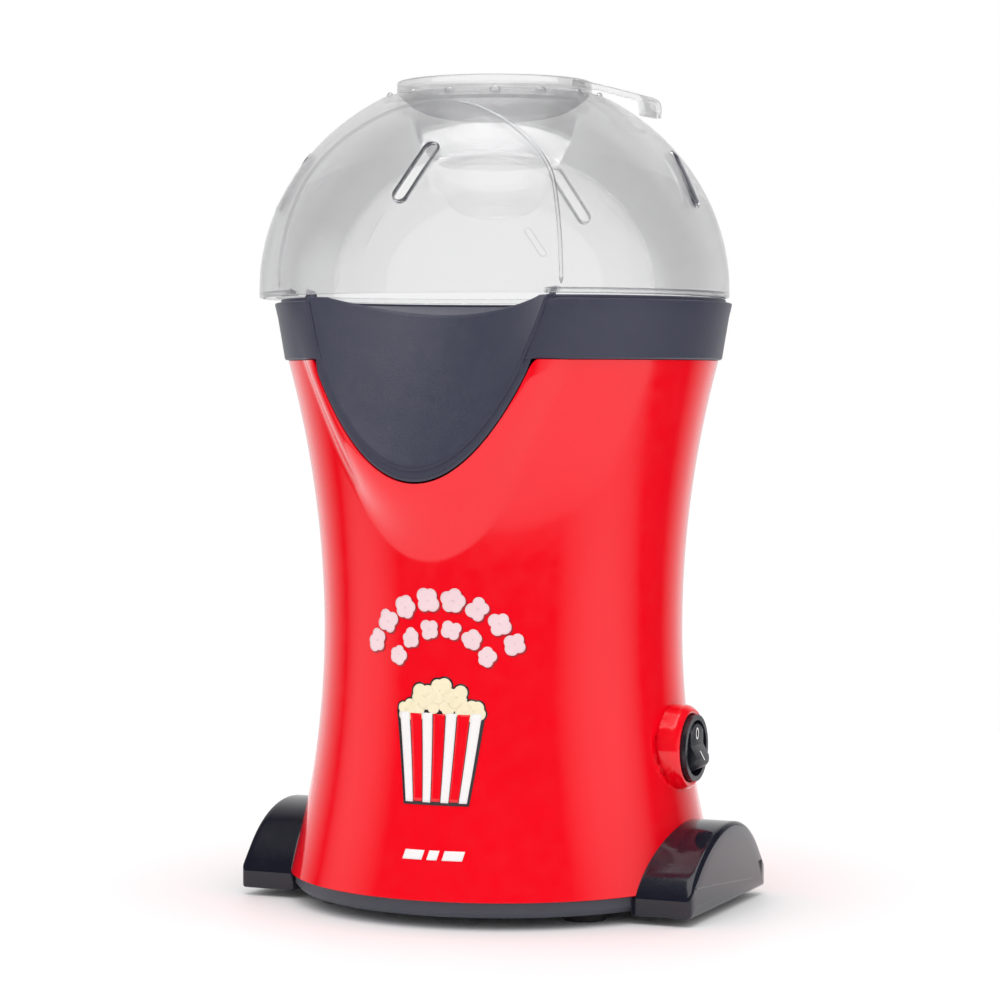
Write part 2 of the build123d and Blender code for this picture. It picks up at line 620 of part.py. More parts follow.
with BuildPart() as rectifier_diodes:
    board_face = BOARD_Y + BOARD_THICK
    diode_y = board_face + DIODE_R
    diode_spots = [(x, diode_y) for x in DIODE_X]
    discs(DIODE_R, DIODE_LOW, DIODE_TOP, diode_spots)
    discs(LEAD_R, DIODE_LOW - 7, DIODE_TOP + 7, diode_spots)
    for x in DIODE_X:
        for low in (DIODE_LOW - 7, DIODE_TOP + 6):
            block((x - LEAD_R, board_face, low), (x + LEAD_R, diode_y, low + 1))
rectifier_diodes.part.label = "rectifier_diodes"
export_step(rectifier_diodes.part, "parts/rectifier_diodes.step")

# ---------------------------------------------------------------- base and feet
with BuildPart() as base_plate:
    turned([
        (0, PLATE_LOW), (PLATE_R - 1.8, PLATE_LOW), (PLATE_R, PLATE_LOW + 2), (PLATE_R, BODY_BOTTOM),
        (70, BODY_BOTTOM), (70, 14), (68, 14), (68, PLATE_TOP), (0, PLATE_TOP),
    ])
    discs(FAN_CASE_R + 2, PLATE_TOP, 12)
    discs(FAN_CASE_R + 0.1, PLATE_TOP, 12, mode=Mode.SUBTRACT)
    discs(SCREW_POST_R - FIT, PLATE_LOW, SCREW_POST_LOW, SCREW_SPOTS)
    discs(SCREW_PILOT_R + FIT, PLATE_LOW - 1, 15, SCREW_SPOTS, mode=Mode.SUBTRACT)
    discs(3.4, PLATE_LOW - 1, PLATE_LOW + 4, SCREW_SPOTS, mode=Mode.SUBTRACT)
    discs(PAD_PLUG_R, PLATE_LOW - 1, PLATE_TOP + 1, PAD_SPOTS, mode=Mode.SUBTRACT)
    with BuildSketch(level(PLATE_LOW - 1)) as grille:
        with PolarLocations(28, 18):
            SlotOverall(20, 3.6)
    extrude(grille.sketch, amount=PLATE_TOP - PLATE_LOW + 2, mode=Mode.SUBTRACT)
base_plate.part.label = "base_plate"
export_step(base_plate.part, "parts/base_plate.step")

with BuildPart() as base_screws:
    discs(3.1, PLATE_LOW + 1.8, PLATE_LOW + 4, SCREW_SPOTS)
    discs(SCREW_PILOT_R, PLATE_LOW + 4, 24, SCREW_SPOTS)
base_screws.part.label = "base_screws"
export_step(base_screws.part, "parts/base_screws.step")

with BuildPart() as rubber_feet:
    discs(PAD_R, 0, PLATE_LOW, PAD_SPOTS)
    discs(PAD_PLUG_R - 0.1, PLATE_LOW, PLATE_TOP, PAD_SPOTS)
    fillet(rubber_feet.edges().group_by(Axis.Z)[0], 1.0)
rubber_feet.part.label = "rubber_feet"
export_step(rubber_feet.part, "parts/rubber_feet.step")


def foot_block(arc_r, half, low, start, end, mode):
    """Bar along +X under a round top, between two upright faces."""
    with BuildSketch(side_plane(start, 0)) as profile:
        with Locations((0, (low + 40) / 2)):
            Rectangle(2 * half, 40 - low)
        with Locations((0, FOOT_ARC_Z)):
            Circle(arc_r, mode=Mode.INTERSECT)
    extrude(profile.sketch, amount=end - start, mode=mode)


def foot_solid():
    """Right foot: a cover shell open below and towards the body, with two screw bosses."""
    foot_block(FOOT_ARC_R, FOOT_HALF, FOOT_LOW, 40, FOOT_END, Mode.ADD)
    discs(FOOT_CURVE_R, FOOT_LOW, 40, ((FOOT_END - FOOT_CURVE_R, 0),), mode=Mode.INTERSECT)
    foot_block(FOOT_ARC_R - WALL, FOOT_HALF - WALL, FOOT_LOW - 1, 30, FOOT_END - 4.5, Mode.SUBTRACT)
    pins(4.2, 60, FOOT_END - 4, FOOT_SCREWS)
    pins(FOOT_SCREW_R, 50, FOOT_END - 5, FOOT_SCREWS, mode=Mode.SUBTRACT)
    plain_body(40, Mode.SUBTRACT)


with BuildPart() as foot_right:
    foot_solid()
foot_right.part.label = "foot_right"
export_step(foot_right.part, "parts/foot_right.step")

with BuildPart() as foot_left:
    add(mirror(foot_right.part, about=Plane.YZ, mode=Mode.PRIVATE))
foot_left.part.label = "foot_left"
export_step(foot_left.part, "parts/foot_left.step")

with BuildPart() as foot_screws:
    head_end = FOOT_SCREW_HEAD + 2.4
    pins(FOOT_SCREW_R, head_end, 78, FOOT_SCREWS)
    pins(3.2, FOOT_SCREW_HEAD, head_end, FOOT_SCREWS)
    pins(FOOT_SCREW_R, -78, -head_end, FOOT_SCREWS)
    pins(3.2, -head_end, -FOOT_SCREW_HEAD, FOOT_SCREWS)
foot_screws.part.label = "foot_screws"
export_step(foot_screws.part, "parts/foot_screws.step")

# ---------------------------------------------------------------- rocker switch
with BuildPart() as switch_housing:
    centre = ((0, SWITCH_Z),)
    pins(BEZEL_R, SWITCH_FACE, SWITCH_FACE + BEZEL_THICK, centre)
    pins(BARREL_R, SWITCH_FACE - BARREL_DEPTH, SWITCH_FACE, centre)
    pins(BARREL_R - 0.8, SWITCH_FACE - BARREL_DEPTH + 1.5, SWITCH_FACE + 3, centre, mode=Mode.SUBTRACT)
    for side in (-9.8, 6.6):
        block((ROCKER_PIVOT - 3, side, SWITCH_Z - 3), (ROCKER_PIVOT + 2, side + 3.2, SWITCH_Z + 3))
    with BuildSketch(Plane(origin=(ROCKER_PIVOT, AXIS_Y, SWITCH_Z), x_dir=(1, 0, 0),
                           z_dir=(0, 1, 0))) as pin_hole:
        Circle(1.3)
    extrude(pin_hole.sketch, amount=8.6, both=True, mode=Mode.SUBTRACT)
switch_housing.part.label = "switch_housing"
export_step(switch_housing.part, "parts/switch_housing.step")

bend = math.radians(ROCKER_SWING / 2)
ROCKER_PLANE = Plane(origin=(ROCKER_PIVOT, AXIS_Y, SWITCH_Z),
                     x_dir=(math.cos(bend), 0, math.sin(bend)), z_dir=(0, -1, 0))
with BuildPart() as switch_rocker:
    middle_x = SWITCH_FACE + BEZEL_THICK + 0.2 - ROCKER_PIVOT
    tip_x = middle_x + ROCKER_HALF * math.sin(bend)
    tip_z = ROCKER_HALF * math.cos(bend)
    with BuildSketch(ROCKER_PLANE) as rocker_outline:
        with BuildLine():
            Polyline((middle_x, 0), (tip_x, tip_z), (1.0, 8.6), (1.0, 2.5), (-2.5, 1.2),
                     (-2.5, -1.2), (1.0, -2.5), (1.0, -8.6), (tip_x, -tip_z), close=True)
        make_face()
    extrude(rocker_outline.sketch, amount=6.3, both=True)
    with Locations((ROCKER_PIVOT, AXIS_Y, SWITCH_Z)):
        Sphere(ROCKER_BALL, mode=Mode.INTERSECT)
    with BuildSketch(ROCKER_PLANE) as rocker_pin:
        Circle(1.25)
    extrude(rocker_pin.sketch, amount=8.4, both=True)
switch_rocker.part.label = "switch_rocker"
export_step(switch_rocker.part, "parts/switch_rocker.step")

with BuildPart() as switch_terminals:
    for z in (SWITCH_Z - 4, SWITCH_Z + 4):
        block((47, -2.4, z - 0.4), (SWITCH_FACE - BARREL_DEPTH, 2.4, z + 0.4))
switch_terminals.part.label = "switch_terminals"
export_step(switch_terminals.part, "parts/switch_terminals.step")

# ---------------------------------------------------------------- cord gland
with BuildPart() as cord_gland:
    back = Plane(origin=(0, AXIS_Y, GLAND_Z), x_dir=(1, 0, 0), z_dir=(0, 1, 0))
    with BuildSketch(back.offset(68)) as gland_flange:
        Circle(GLAND_FLANGE_R)
    extrude(gland_flange.sketch, amount=9.4)
    fillet(cord_gland.edges().sort_by(Axis.Y)[-1], 1.0)
    plain_body(40, Mode.SUBTRACT)
    with BuildSketch(back.offset(66)) as gland_barrel:
        Circle(GLAND_R)
    extrude(gland_barrel.sketch, amount=10)
    with BuildSketch(back.offset(60)) as gland_bore:
        Circle(GLAND_BORE)
    extrude(gland_bore.sketch, amount=24, mode=Mode.SUBTRACT)
cord_gland.part.label = "cord_gland"
export_step(cord_gland.part, "parts/cord_gland.step")
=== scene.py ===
"""Hot-air popcorn maker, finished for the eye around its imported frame.

Lengths are in millimetres measured from the body's own upright axis, and become metres, moved
to that axis, when a mesh is made. Azimuth 0 is the front (-Y) and grows towards +X.
"""
import math

import bmesh
import bpy
import numpy as np
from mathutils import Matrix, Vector


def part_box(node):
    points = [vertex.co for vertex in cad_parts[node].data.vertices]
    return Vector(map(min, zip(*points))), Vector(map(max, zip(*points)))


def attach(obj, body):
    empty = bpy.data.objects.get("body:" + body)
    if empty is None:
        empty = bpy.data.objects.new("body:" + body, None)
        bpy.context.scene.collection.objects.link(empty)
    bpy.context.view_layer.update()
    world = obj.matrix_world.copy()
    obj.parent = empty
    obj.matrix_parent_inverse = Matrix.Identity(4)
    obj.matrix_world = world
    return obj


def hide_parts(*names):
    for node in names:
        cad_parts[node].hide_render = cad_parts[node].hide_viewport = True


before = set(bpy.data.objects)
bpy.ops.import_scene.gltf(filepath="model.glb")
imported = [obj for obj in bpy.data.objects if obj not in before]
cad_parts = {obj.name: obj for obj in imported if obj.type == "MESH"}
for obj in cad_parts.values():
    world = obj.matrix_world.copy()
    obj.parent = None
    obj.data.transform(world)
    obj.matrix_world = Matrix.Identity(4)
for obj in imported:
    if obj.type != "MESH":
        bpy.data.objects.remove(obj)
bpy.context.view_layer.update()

# ---------------------------------------------------------------- sizes
MM = 0.001


def middle(node):
    """Centre of a node's box, in millimetres."""
    low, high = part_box(node)
    return (np.array(low) + np.array(high)) / 2 / MM


def top_of(node):
    """Height of a node's highest point, in millimetres."""
    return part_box(node)[1][2] / MM


def bottom_of(node):
    """Height of a node's lowest point, in millimetres."""
    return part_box(node)[0][2] / MM


AXIS_Y = middle("heater_tube")[1]           # the body's axis
LID_FORWARD = AXIS_Y - middle("dome_lid")[1]

BODY_BOTTOM = bottom_of("body_shell")
BODY_TOP = top_of("body_shell")
WAIST_Z, WAIST_R = 97.0, 64.1
SPREAD_UP, SPREAD_DOWN = 0.001406, 0.00162
SHELL_WALL = 2.2
RIM_ROLL = 1.2                              # how far the shell's two rims roll in

CHUTE_R = 60.5
CHUTE_Y, CHUTE_Z = -100.4, 237.2
CHUTE_TILT = math.radians(29.15)
BAND_WALL = 3.3                             # the dark rim outside the chute's channel
BEAD = 1.0
BIB_TOP_R, BIB_BEND_Z = 80.4, 187.0
BIB_SLOPE = 4.6 / 37.0
SWELL_WIDTH = 16.0

RING_TOP = top_of("top_ring")
RING_LOW_R, RING_TOP_R = 78.0, 81.6
LEDGE_R, LEDGE_STEP = 72.0, 2.3
RIM_DROP = 1.3                              # the outer rim's height below the ledge
GROOVE_R, GROOVE_Z = 69.2, 211.0            # the lid's groove: its inner wall and its floor
SKIRT_R, SKIRT_Z = 70.0, 208.6              # the locating skirt's inner face and its root
UNDERSIDE_Z = 209.6
DECK_R, DECK_Z, DECK_WALL = 42.0, 206.0, 2.4

VENT_AZIMUTHS = np.radians((2, -64, 91, 180))
VENT_RISE, VENT_LEAN = math.radians(30.0), math.radians(21.0)
VENT_STRAIGHT = 10.0                        # half the length of a vent's straight sides
VENT_HALF, VENT_RIM_HALF = 2.5, 2.55
LID_R = (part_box("dome_lid")[1][0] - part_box("dome_lid")[0][0]) / 2 / MM
LID_RISE, LID_CENTRE_Z, LID_WALL = 77.0, 216.5, 2.0
LID_LOW = bottom_of("dome_lid") + 2.5       # the rim stands above the locating tabs
LID_TOP = top_of("dome_lid")
NECK_R = 32.0

CUP_TOP = top_of("measuring_cup")
CUP_FLOOR = bottom_of("measuring_cup")
CUP_RIM_R = 34.5
HANDLE_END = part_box("measuring_cup")[1][0] / MM

FOOT_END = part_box("foot_right")[1][0] / MM
FOOT_HALF = (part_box("foot_right")[1][1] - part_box("foot_right")[0][1]) / 2 / MM
FOOT_LOW = bottom_of("foot_right")
FOOT_ARC_R, FOOT_ARC_Z = 46.0, -15.0
FOOT_CURVE_R = 600.0
FOOT_EDGE, FOOT_CENTRE_Z = 1.5, 13.0

SWITCH_Z = middle("switch_housing")[2]
SWITCH_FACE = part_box("switch_housing")[1][0] / MM
ROCKER_PIVOT = SWITCH_FACE - 4.3
ROCKER_REST = math.radians(14.0)
SWITCH_HOLE_R = 11.0

FLOOR_R = 0.57                              # metres; the white table ends there


# ---------------------------------------------------------------- mesh making
def circle(count):
    """Equal angles all the way round, without the last that would repeat the first."""
    return np.linspace(0, 2 * np.pi, count, endpoint=False)


def in_scene(name, data):
    """New object with its data, placed in the scene."""
    thing = bpy.data.objects.new(name, data)
    bpy.context.scene.collection.objects.link(thing)
    return thing


def reworked(mesh, *steps):
    """Passes a mesh through editing steps, each a function of its editable form."""
    work = bmesh.new()
    work.from_mesh(mesh)
    for step in steps:
        step(work)
    work.to_mesh(mesh)
    work.free()


def fill_ends(work):
    """Closes every open loop with a face."""
    bmesh.ops.holes_fill(work, edges=[e for e in work.edges if e.is_boundary])


def turn_out(work):
    """Points all faces outwards."""
    bmesh.ops.recalc_face_normals(work, faces=work.faces)


def smoothed(mesh, sharp):
    """Smooth shading, except over edges sharper than an angle in degrees."""
    mesh.polygons.foreach_set("use_smooth", np.ones(len(mesh.polygons), bool))
    mesh.set_sharp_from_angle(angle=math.radians(sharp))


def weave(rows, cols, wrap_rows=False, wrap_cols=False):
    """Quads of a grid of points, row by row, wrapping round where asked."""
    i, j = np.meshgrid(np.arange(rows if wrap_rows else rows - 1),
                       np.arange(cols if wrap_cols else cols - 1), indexing="ij")
    above, beside = (i + 1) % rows, (j + 1) % cols
    quads = np.stack([i * cols + j, i * cols + beside, above * cols + beside, above * cols + j], -1)
    return quads.reshape(-1, 4)


def weld(work):
    """Joins points that meet and drops faces with no area."""
    bmesh.ops.remove_doubles(work, verts=work.verts, dist=0.00002)
    bmesh.ops.dissolve_degenerate(work, edges=work.edges, dist=0.000005)


def mesh_from(name, points, faces, material, body, slot, sharp=38.0):
    """Object of a body's piece from points in millimetres about the axis and a list of faces."""
    points = np.asarray(points, float).reshape(-1, 3)
    mesh = bpy.data.meshes.new(name)
    metres = (points + (0.0, AXIS_Y, 0.0)) * MM
    mesh.from_pydata(metres.tolist(), [], [list(map(int, f)) for f in faces])
    reworked(mesh, weld)
    smoothed(mesh, sharp)
    piece = in_scene(name, mesh)
    mesh.materials.append(material)
    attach(piece, body)
    return piece


def several(name, grids, material, body, slot, wrap_rows=False, wrap_cols=False, flip=False, **more):
    """Piece made of many like grids, an array of (count, rows, columns, 3)."""
    count, rows, cols = grids.shape[:3]
    quads = weave(rows, cols, wrap_rows, wrap_cols)
    if flip:
        quads = quads[:, ::-1]
    faces = (quads[None] + (np.arange(count) * rows * cols)[:, None, None]).reshape(-1, 4)
    return mesh_from(name, grids, faces, material, body, slot, **more)


def surface(name, grid, *finish, **more):
    """Piece whose skin is one grid of points, rows by columns."""
    return several(name, grid[None], *finish, **more)


def walled(piece, thickness, even=True):
    """Gives an open skin its wall, inwards from the face that shows."""
    wall = piece.modifiers.new("wall", "SOLIDIFY")
    wall.thickness = thickness * MM
    wall.offset = -1
    wall.use_even_offset = even
    return piece


def polar(azimuth, radius, height):
    """Points from azimuth (radians), radius and height; all may be arrays."""
    azimuth, radius, height = np.broadcast_arrays(azimuth, radius, height)
    return np.stack([radius * np.sin(azimuth), -radius * np.cos(azimuth), height], -1)


def eased(corners, radius, steps=4, closed=True):
    """Outline with each corner swapped for a short parabola that leaves the two sides along them,
    starting at most `radius` from the corner."""
    corners = np.asarray(corners, float)
    radius = np.broadcast_to(radius, len(corners))
    t = np.linspace(0, 1, steps + 1)[:, None]
    out = []
    for k, corner in enumerate(corners):
        if not closed and k in (0, len(corners) - 1):
            out.append(corner[None])
            continue
        before, after = corners[k - 1] - corner, corners[(k + 1) % len(corners)] - corner
        reach = min(radius[k], 0.45 * np.linalg.norm(before), 0.45 * np.linalg.norm(after))
        if reach < 1e-6:
            out.append(corner[None])
            continue
        start = corner + before / np.linalg.norm(before) * reach
        end = corner + after / np.linalg.norm(after) * reach
        out.append((1 - t) ** 2 * start + 2 * t * (1 - t) * corner + t ** 2 * end)
    return np.concatenate(out)


def lathe(name, outline, material, body, slot, forward=0.0, segments=160, **more):
    """Closed (radius, height) outline carried round an upright axis."""
    turn = circle(segments)
    grid = polar(turn[None], outline[:, 0][:, None], outline[:, 1][:, None])
    grid[..., 1] -= forward
    return surface(name, grid, material, body, slot, wrap_rows=True, wrap_cols=True, **more)


def side_lathe(name, outline, material, body, slot, segments=96, **more):
    """Closed (radius, x) outline carried round the switch's axis, which points along +X."""
    turn = circle(segments)
    radius, x = outline[:, 0][:, None], outline[:, 1][:, None]
    grid = np.stack([x + 0 * turn, radius * np.cos(turn), SWITCH_Z + radius * np.sin(turn)], -1)
    return surface(name, grid, material, body, slot, wrap_rows=True, wrap_cols=True, **more)


def crossing(function, low, high, steps=44):
    """Where a rising function passes zero between low and high, by halving whole arrays."""
    low, high = np.array(low, float), np.array(high, float)
    for _ in range(steps):
        half = (low + high) / 2
        under = function(half) < 0
        low, high = np.where(under, half, low), np.where(under, high, half)
    return (low + high) / 2


def join_facets(work):
    """Merges loose triangles into the flat faces they make up."""
    bmesh.ops.remove_doubles(work, verts=work.verts, dist=0.00001)
    bmesh.ops.dissolve_limit(work, angle_limit=math.radians(1.5), verts=work.verts, edges=work.edges)


def softened(node, name, width, angle, material, body):
    """Copy of a CAD node with its facets joined and its hard edges rounded by a bevel."""
    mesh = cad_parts[node].data.copy()
    mesh.name = name
    reworked(mesh, join_facets)
    mesh.materials.clear()
    mesh.materials.append(material)
    smoothed(mesh, 50)
    piece = in_scene(name, mesh)
    edge = piece.modifiers.new("rounded_edges", "BEVEL")
    edge.width = width * MM
    edge.segments = 3
    edge.limit_method = "ANGLE"
    edge.angle_limit = math.radians(angle)
    edge.harden_normals = True
    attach(piece, body)
    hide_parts(node)


# ---------------------------------------------------------------- body shape
def body_radius(z):
    """Plain body: two parabolas in height that meet at the waist."""
    return WAIST_R + np.where(z > WAIST_Z, SPREAD_UP, SPREAD_DOWN) * (z - WAIST_Z) ** 2


def bib_radius(z):
    """Outer face of the chute's rim: upright above the bend, tapering in below."""
    return BIB_TOP_R - BIB_SLOPE * np.maximum(0.0, BIB_BEND_Z - z)


def beyond_chute(points):
    """How far points lie outside the chute's tilted cylinder."""
    across = ((points[..., 1] - CHUTE_Y) * math.cos(CHUTE_TILT)
              - (points[..., 2] - CHUTE_Z) * math.sin(CHUTE_TILT))
    return np.hypot(points[..., 0], across) - CHUTE_R


def swelling(azimuth, z, start=BAND_WALL):
    """1 at the chute's rim and beyond it, falling smoothly to 0 over the swelling's width."""
    outside = beyond_chute(polar(azimuth, bib_radius(z), z)) - start
    fade = np.clip(1 - outside / SWELL_WIDTH, 0, 1) * (np.cos(azimuth) > 0)
    return fade * fade * (3 - 2 * fade)


def shell_radius(azimuth, z):
    """Body radius with the swelling that rises to meet the chute's rim."""
    plain = body_radius(z)
    return plain + (bib_radius(z) - plain) * swelling(azimuth, z)


# ---------------------------------------------------------------- materials
VECTOR, NUMBER = "NodeSocketVector", "NodeSocketFloat"


def feed(tree, value, socket):
    """Gives a socket its value: a number, an RGB triple, or a link from another socket."""
    if isinstance(value, tuple):
        socket.default_value = (*value, 1.0)
    elif isinstance(value, (int, float)):
        socket.default_value = value
    else:
        tree.links.new(value, socket)


def node_group(name, inputs, outputs):
    """Empty shader group with named sockets; returns it with its end nodes."""
    group = bpy.data.node_groups.new(name, "ShaderNodeTree")
    for label, kind, value in inputs:
        socket = group.interface.new_socket(name=label, in_out="INPUT", socket_type=kind)
        if value is not None:
            socket.default_value = value
    for label, kind in outputs:
        group.interface.new_socket(name=label, in_out="OUTPUT", socket_type=kind)
    return group, group.nodes.new("NodeGroupInput"), group.nodes.new("NodeGroupOutput")


def noise(tree, vector, scale, detail=2.0, roughness=0.5):
    """Noise texture on a vector; scale is a number or a socket."""
    node = tree.nodes.new("ShaderNodeTexNoise")
    tree.links.new(vector, node.inputs["Vector"])
    feed(tree, scale, node.inputs["Scale"])
    node.inputs["Detail"].default_value = detail
    node.inputs["Roughness"].default_value = roughness
    return node.outputs["Fac"]


def arithmetic(tree, operation, first, second=0.0, clamp=False):
    """Math node on sockets or numbers."""
    node = tree.nodes.new("ShaderNodeMath")
    node.operation = operation
    node.use_clamp = clamp
    feed(tree, first, node.inputs[0])
    feed(tree, second, node.inputs[1])
    return node.outputs[0]


def product(tree, first, second, clamp=False):
    """Product of two sockets or numbers."""
    return arithmetic(tree, "MULTIPLY", first, second, clamp)


def ranged(tree, value, from_low, from_high, to_low, to_high):
    """Map Range, clamped; limits are numbers or sockets."""
    node = tree.nodes.new("ShaderNodeMapRange")
    tree.links.new(value, node.inputs["Value"])
    limits = {"From Min": from_low, "From Max": from_high, "To Min": to_low, "To Max": to_high}
    for label, limit in limits.items():
        feed(tree, limit, node.inputs[label])
    return node.outputs["Result"]


def mix_colour(tree, factor, first, second):
    """Colour mix; colours are sockets or RGB triples."""
    node = tree.nodes.new("ShaderNodeMix")
    node.data_type = "RGBA"
    for socket, value in ((0, factor), (6, first), (7, second)):
        feed(tree, value, node.inputs[socket])
    return node.outputs[2]


def make_moulded_grain():
    """Group: fine spark-eroded grain of a mould. Height, colour mask and roughness mask."""
    group, start, end = node_group(
        "moulded_grain",
        [("Vector", VECTOR, None), ("Grain Scale", NUMBER, 2200.0),
         ("Cloud Scale", NUMBER, 30.0)],
        [("Height", NUMBER), ("Clouds", NUMBER), ("Speckle", NUMBER)])
    fine = noise(group, start.outputs["Vector"], start.outputs["Grain Scale"], 3.0, 0.6)
    clouds = noise(group, start.outputs["Vector"], start.outputs["Cloud Scale"], 4.0, 0.55)
    speckle = ranged(group, fine, 0.35, 0.72, 0.0, 1.0)
    group.links.new(fine, end.inputs["Height"])
    group.links.new(clouds, end.inputs["Clouds"])
    group.links.new(speckle, end.inputs["Speckle"])
    return group


def make_settled_dust():
    """Group: mask of light dust, thicker on faces that look up."""
    group, start, end = node_group(
        "settled_dust",
        [("Vector", VECTOR, None), ("Amount", NUMBER, 0.1)],
        [("Mask", NUMBER)])
    geometry = group.nodes.new("ShaderNodeNewGeometry")
    split = group.nodes.new("ShaderNodeSeparateXYZ")
    group.links.new(geometry.outputs["Normal"], split.inputs[0])
    upward = ranged(group, split.outputs["Z"], 0.2, 1.0, 0.15, 1.0)
    patches = ranged(group, noise(group, start.outputs["Vector"], 160.0, 5.0, 0.7), 0.42, 0.75, 0.0, 1.0)
    mask = product(group, product(group, upward, patches), start.outputs["Amount"], clamp=True)
    group.links.new(mask, end.inputs["Mask"])
    return group


def make_brushing():
    """Group: fine lines drawn out along one direction. Height and mask."""
    group, start, end = node_group(
        "brushed_lines",
        [("Vector", VECTOR, None), ("Stretch", VECTOR, (1.0, 1.0, 1.0)),
         ("Scale", NUMBER, 900.0)],
        [("Height", NUMBER), ("Mask", NUMBER)])
    scaled = group.nodes.new("ShaderNodeVectorMath")
    scaled.operation = "MULTIPLY"
    group.links.new(start.outputs["Vector"], scaled.inputs[0])
    group.links.new(start.outputs["Stretch"], scaled.inputs[1])
    lines = noise(group, scaled.outputs[0], start.outputs["Scale"], 3.0, 0.6)
    group.links.new(lines, end.inputs["Height"])
    group.links.new(ranged(group, lines, 0.3, 0.7, 0.0, 1.0), end.inputs["Mask"])
    return group


MOULDED_GRAIN = make_moulded_grain()
SETTLED_DUST = make_settled_dust()
BRUSHED_LINES = make_brushing()


def blank(name):
    """New material: its tree, its Principled shader and Object coordinates."""
    material = bpy.data.materials.new(name)
    material.use_nodes = True
    tree = material.node_tree
    shader = tree.nodes["Principled BSDF"]
    coordinates = tree.nodes.new("ShaderNodeTexCoord").outputs["Object"]
    return material, tree, shader, coordinates


def placed(tree, group, coordinates, **values):
    """Group node fed with coordinates; keyword names use _ for spaces."""
    node = tree.nodes.new("ShaderNodeGroup")
    node.node_tree = group
    tree.links.new(coordinates, node.inputs["Vector"])
    for label, value in values.items():
        node.inputs[label.replace("_", " ")].default_value = value
    return node


def bump(tree, shader, height, strength, distance):
    """Bump from a height socket into the shader's Normal."""
    node = tree.nodes.new("ShaderNodeBump")
    node.inputs["Strength"].default_value = strength
    node.inputs["Distance"].default_value = distance
    tree.links.new(height, node.inputs["Height"])
    tree.links.new(node.outputs["Normal"], shader.inputs["Normal"])


def moulded_plastic(name, colour, shade, roughness, grain, grain_scale, dust=0.05, coat=0.0, ior=1.5):
    """Moulded plastic: two close shades in soft clouds, mould grain in bump and roughness, and
    a little dust on what faces up."""
    material, tree, shader, coordinates = blank(name)
    grain_node = placed(tree, MOULDED_GRAIN, coordinates, Grain_Scale=grain_scale)
    dust_node = placed(tree, SETTLED_DUST, coordinates, Amount=dust)
    base = mix_colour(tree, grain_node.outputs["Clouds"], colour, shade)
    base = mix_colour(tree, dust_node.outputs["Mask"], base, (0.60, 0.58, 0.55))
    tree.links.new(base, shader.inputs["Base Color"])
    low, high = roughness
    rough = ranged(tree, grain_node.outputs["Speckle"], 0.0, 1.0, low, high)
    rough = arithmetic(tree, "ADD", rough, product(tree, dust_node.outputs["Mask"], 0.4))
    tree.links.new(rough, shader.inputs["Roughness"])
    bump(tree, shader, grain_node.outputs["Height"], grain, 0.0002)
    shader.inputs["Coat Weight"].default_value = coat
    shader.inputs["Coat Roughness"].default_value = 0.04
    shader.inputs["IOR"].default_value = ior
    return material


def sheet_metal(name, colour, shade, roughness, stretch, scale=900.0, strength=0.25):
    """Metal with drawn-out lines in colour, roughness and bump."""
    material, tree, shader, coordinates = blank(name)
    lines = placed(tree, BRUSHED_LINES, coordinates, Stretch=stretch, Scale=scale)
    grain = placed(tree, MOULDED_GRAIN, coordinates, Cloud_Scale=60.0)
    base = mix_colour(tree, lines.outputs["Mask"], colour, shade)
    base = mix_colour(tree, ranged(tree, grain.outputs["Clouds"], 0.45, 0.75, 0.0, 0.35), base, shade)
    tree.links.new(base, shader.inputs["Base Color"])
    low, high = roughness
    tree.links.new(ranged(tree, lines.outputs["Mask"], 0.0, 1.0, low, high), shader.inputs["Roughness"])
    bump(tree, shader, lines.outputs["Height"], strength, 0.0001)
    shader.inputs["Metallic"].default_value = 1.0
    return material


def clear_plastic(name, tint, shade, see_through, turned_away):
    """Clear polycarbonate: see-through face on, denser where it turns away, with faint moulding
    ripples. The last two numbers are its density face on and turned away."""
    material, tree, shader, coordinates = blank(name)
    grain = placed(tree, MOULDED_GRAIN, coordinates, Grain_Scale=45.0, Cloud_Scale=12.0)
    facing = tree.nodes.new("ShaderNodeLayerWeight")
    facing.inputs["Blend"].default_value = 0.30
    alpha = ranged(tree, facing.outputs["Facing"], 0.0, 1.0, see_through, turned_away)
    rays = tree.nodes.new("ShaderNodeLightPath").outputs
    lighting = arithmetic(tree, "MAXIMUM", rays["Is Shadow Ray"], rays["Is Diffuse Ray"])
    alpha = product(tree, alpha, arithmetic(tree, "SUBTRACT", 1.0, product(tree, lighting, 0.8)))
    tree.links.new(alpha, shader.inputs["Alpha"])
    tree.links.new(mix_colour(tree, grain.outputs["Clouds"], tint, shade), shader.inputs["Base Color"])
    tree.links.new(ranged(tree, grain.outputs["Speckle"], 0.0, 1.0, 0.015, 0.05), shader.inputs["Roughness"])
    bump(tree, shader, grain.outputs["Height"], 0.10, 0.0006)
    shader.inputs["Transmission Weight"].default_value = 1.0
    shader.inputs["IOR"].default_value = 1.46
    return material


def printed_ink(name, colour, shade):
    """Pad-printed ink: nearly flat colour with a fine screen and worn specks."""
    material, tree, shader, coordinates = blank(name)
    grain = placed(tree, MOULDED_GRAIN, coordinates, Grain_Scale=3500.0, Cloud_Scale=140.0)
    tree.links.new(mix_colour(tree, grain.outputs["Clouds"], colour, shade), shader.inputs["Base Color"])
    tree.links.new(ranged(tree, grain.outputs["Speckle"], 0.0, 1.0, 0.22, 0.38), shader.inputs["Roughness"])
    bump(tree, shader, grain.outputs["Height"], 0.08, 0.0001)
    return material


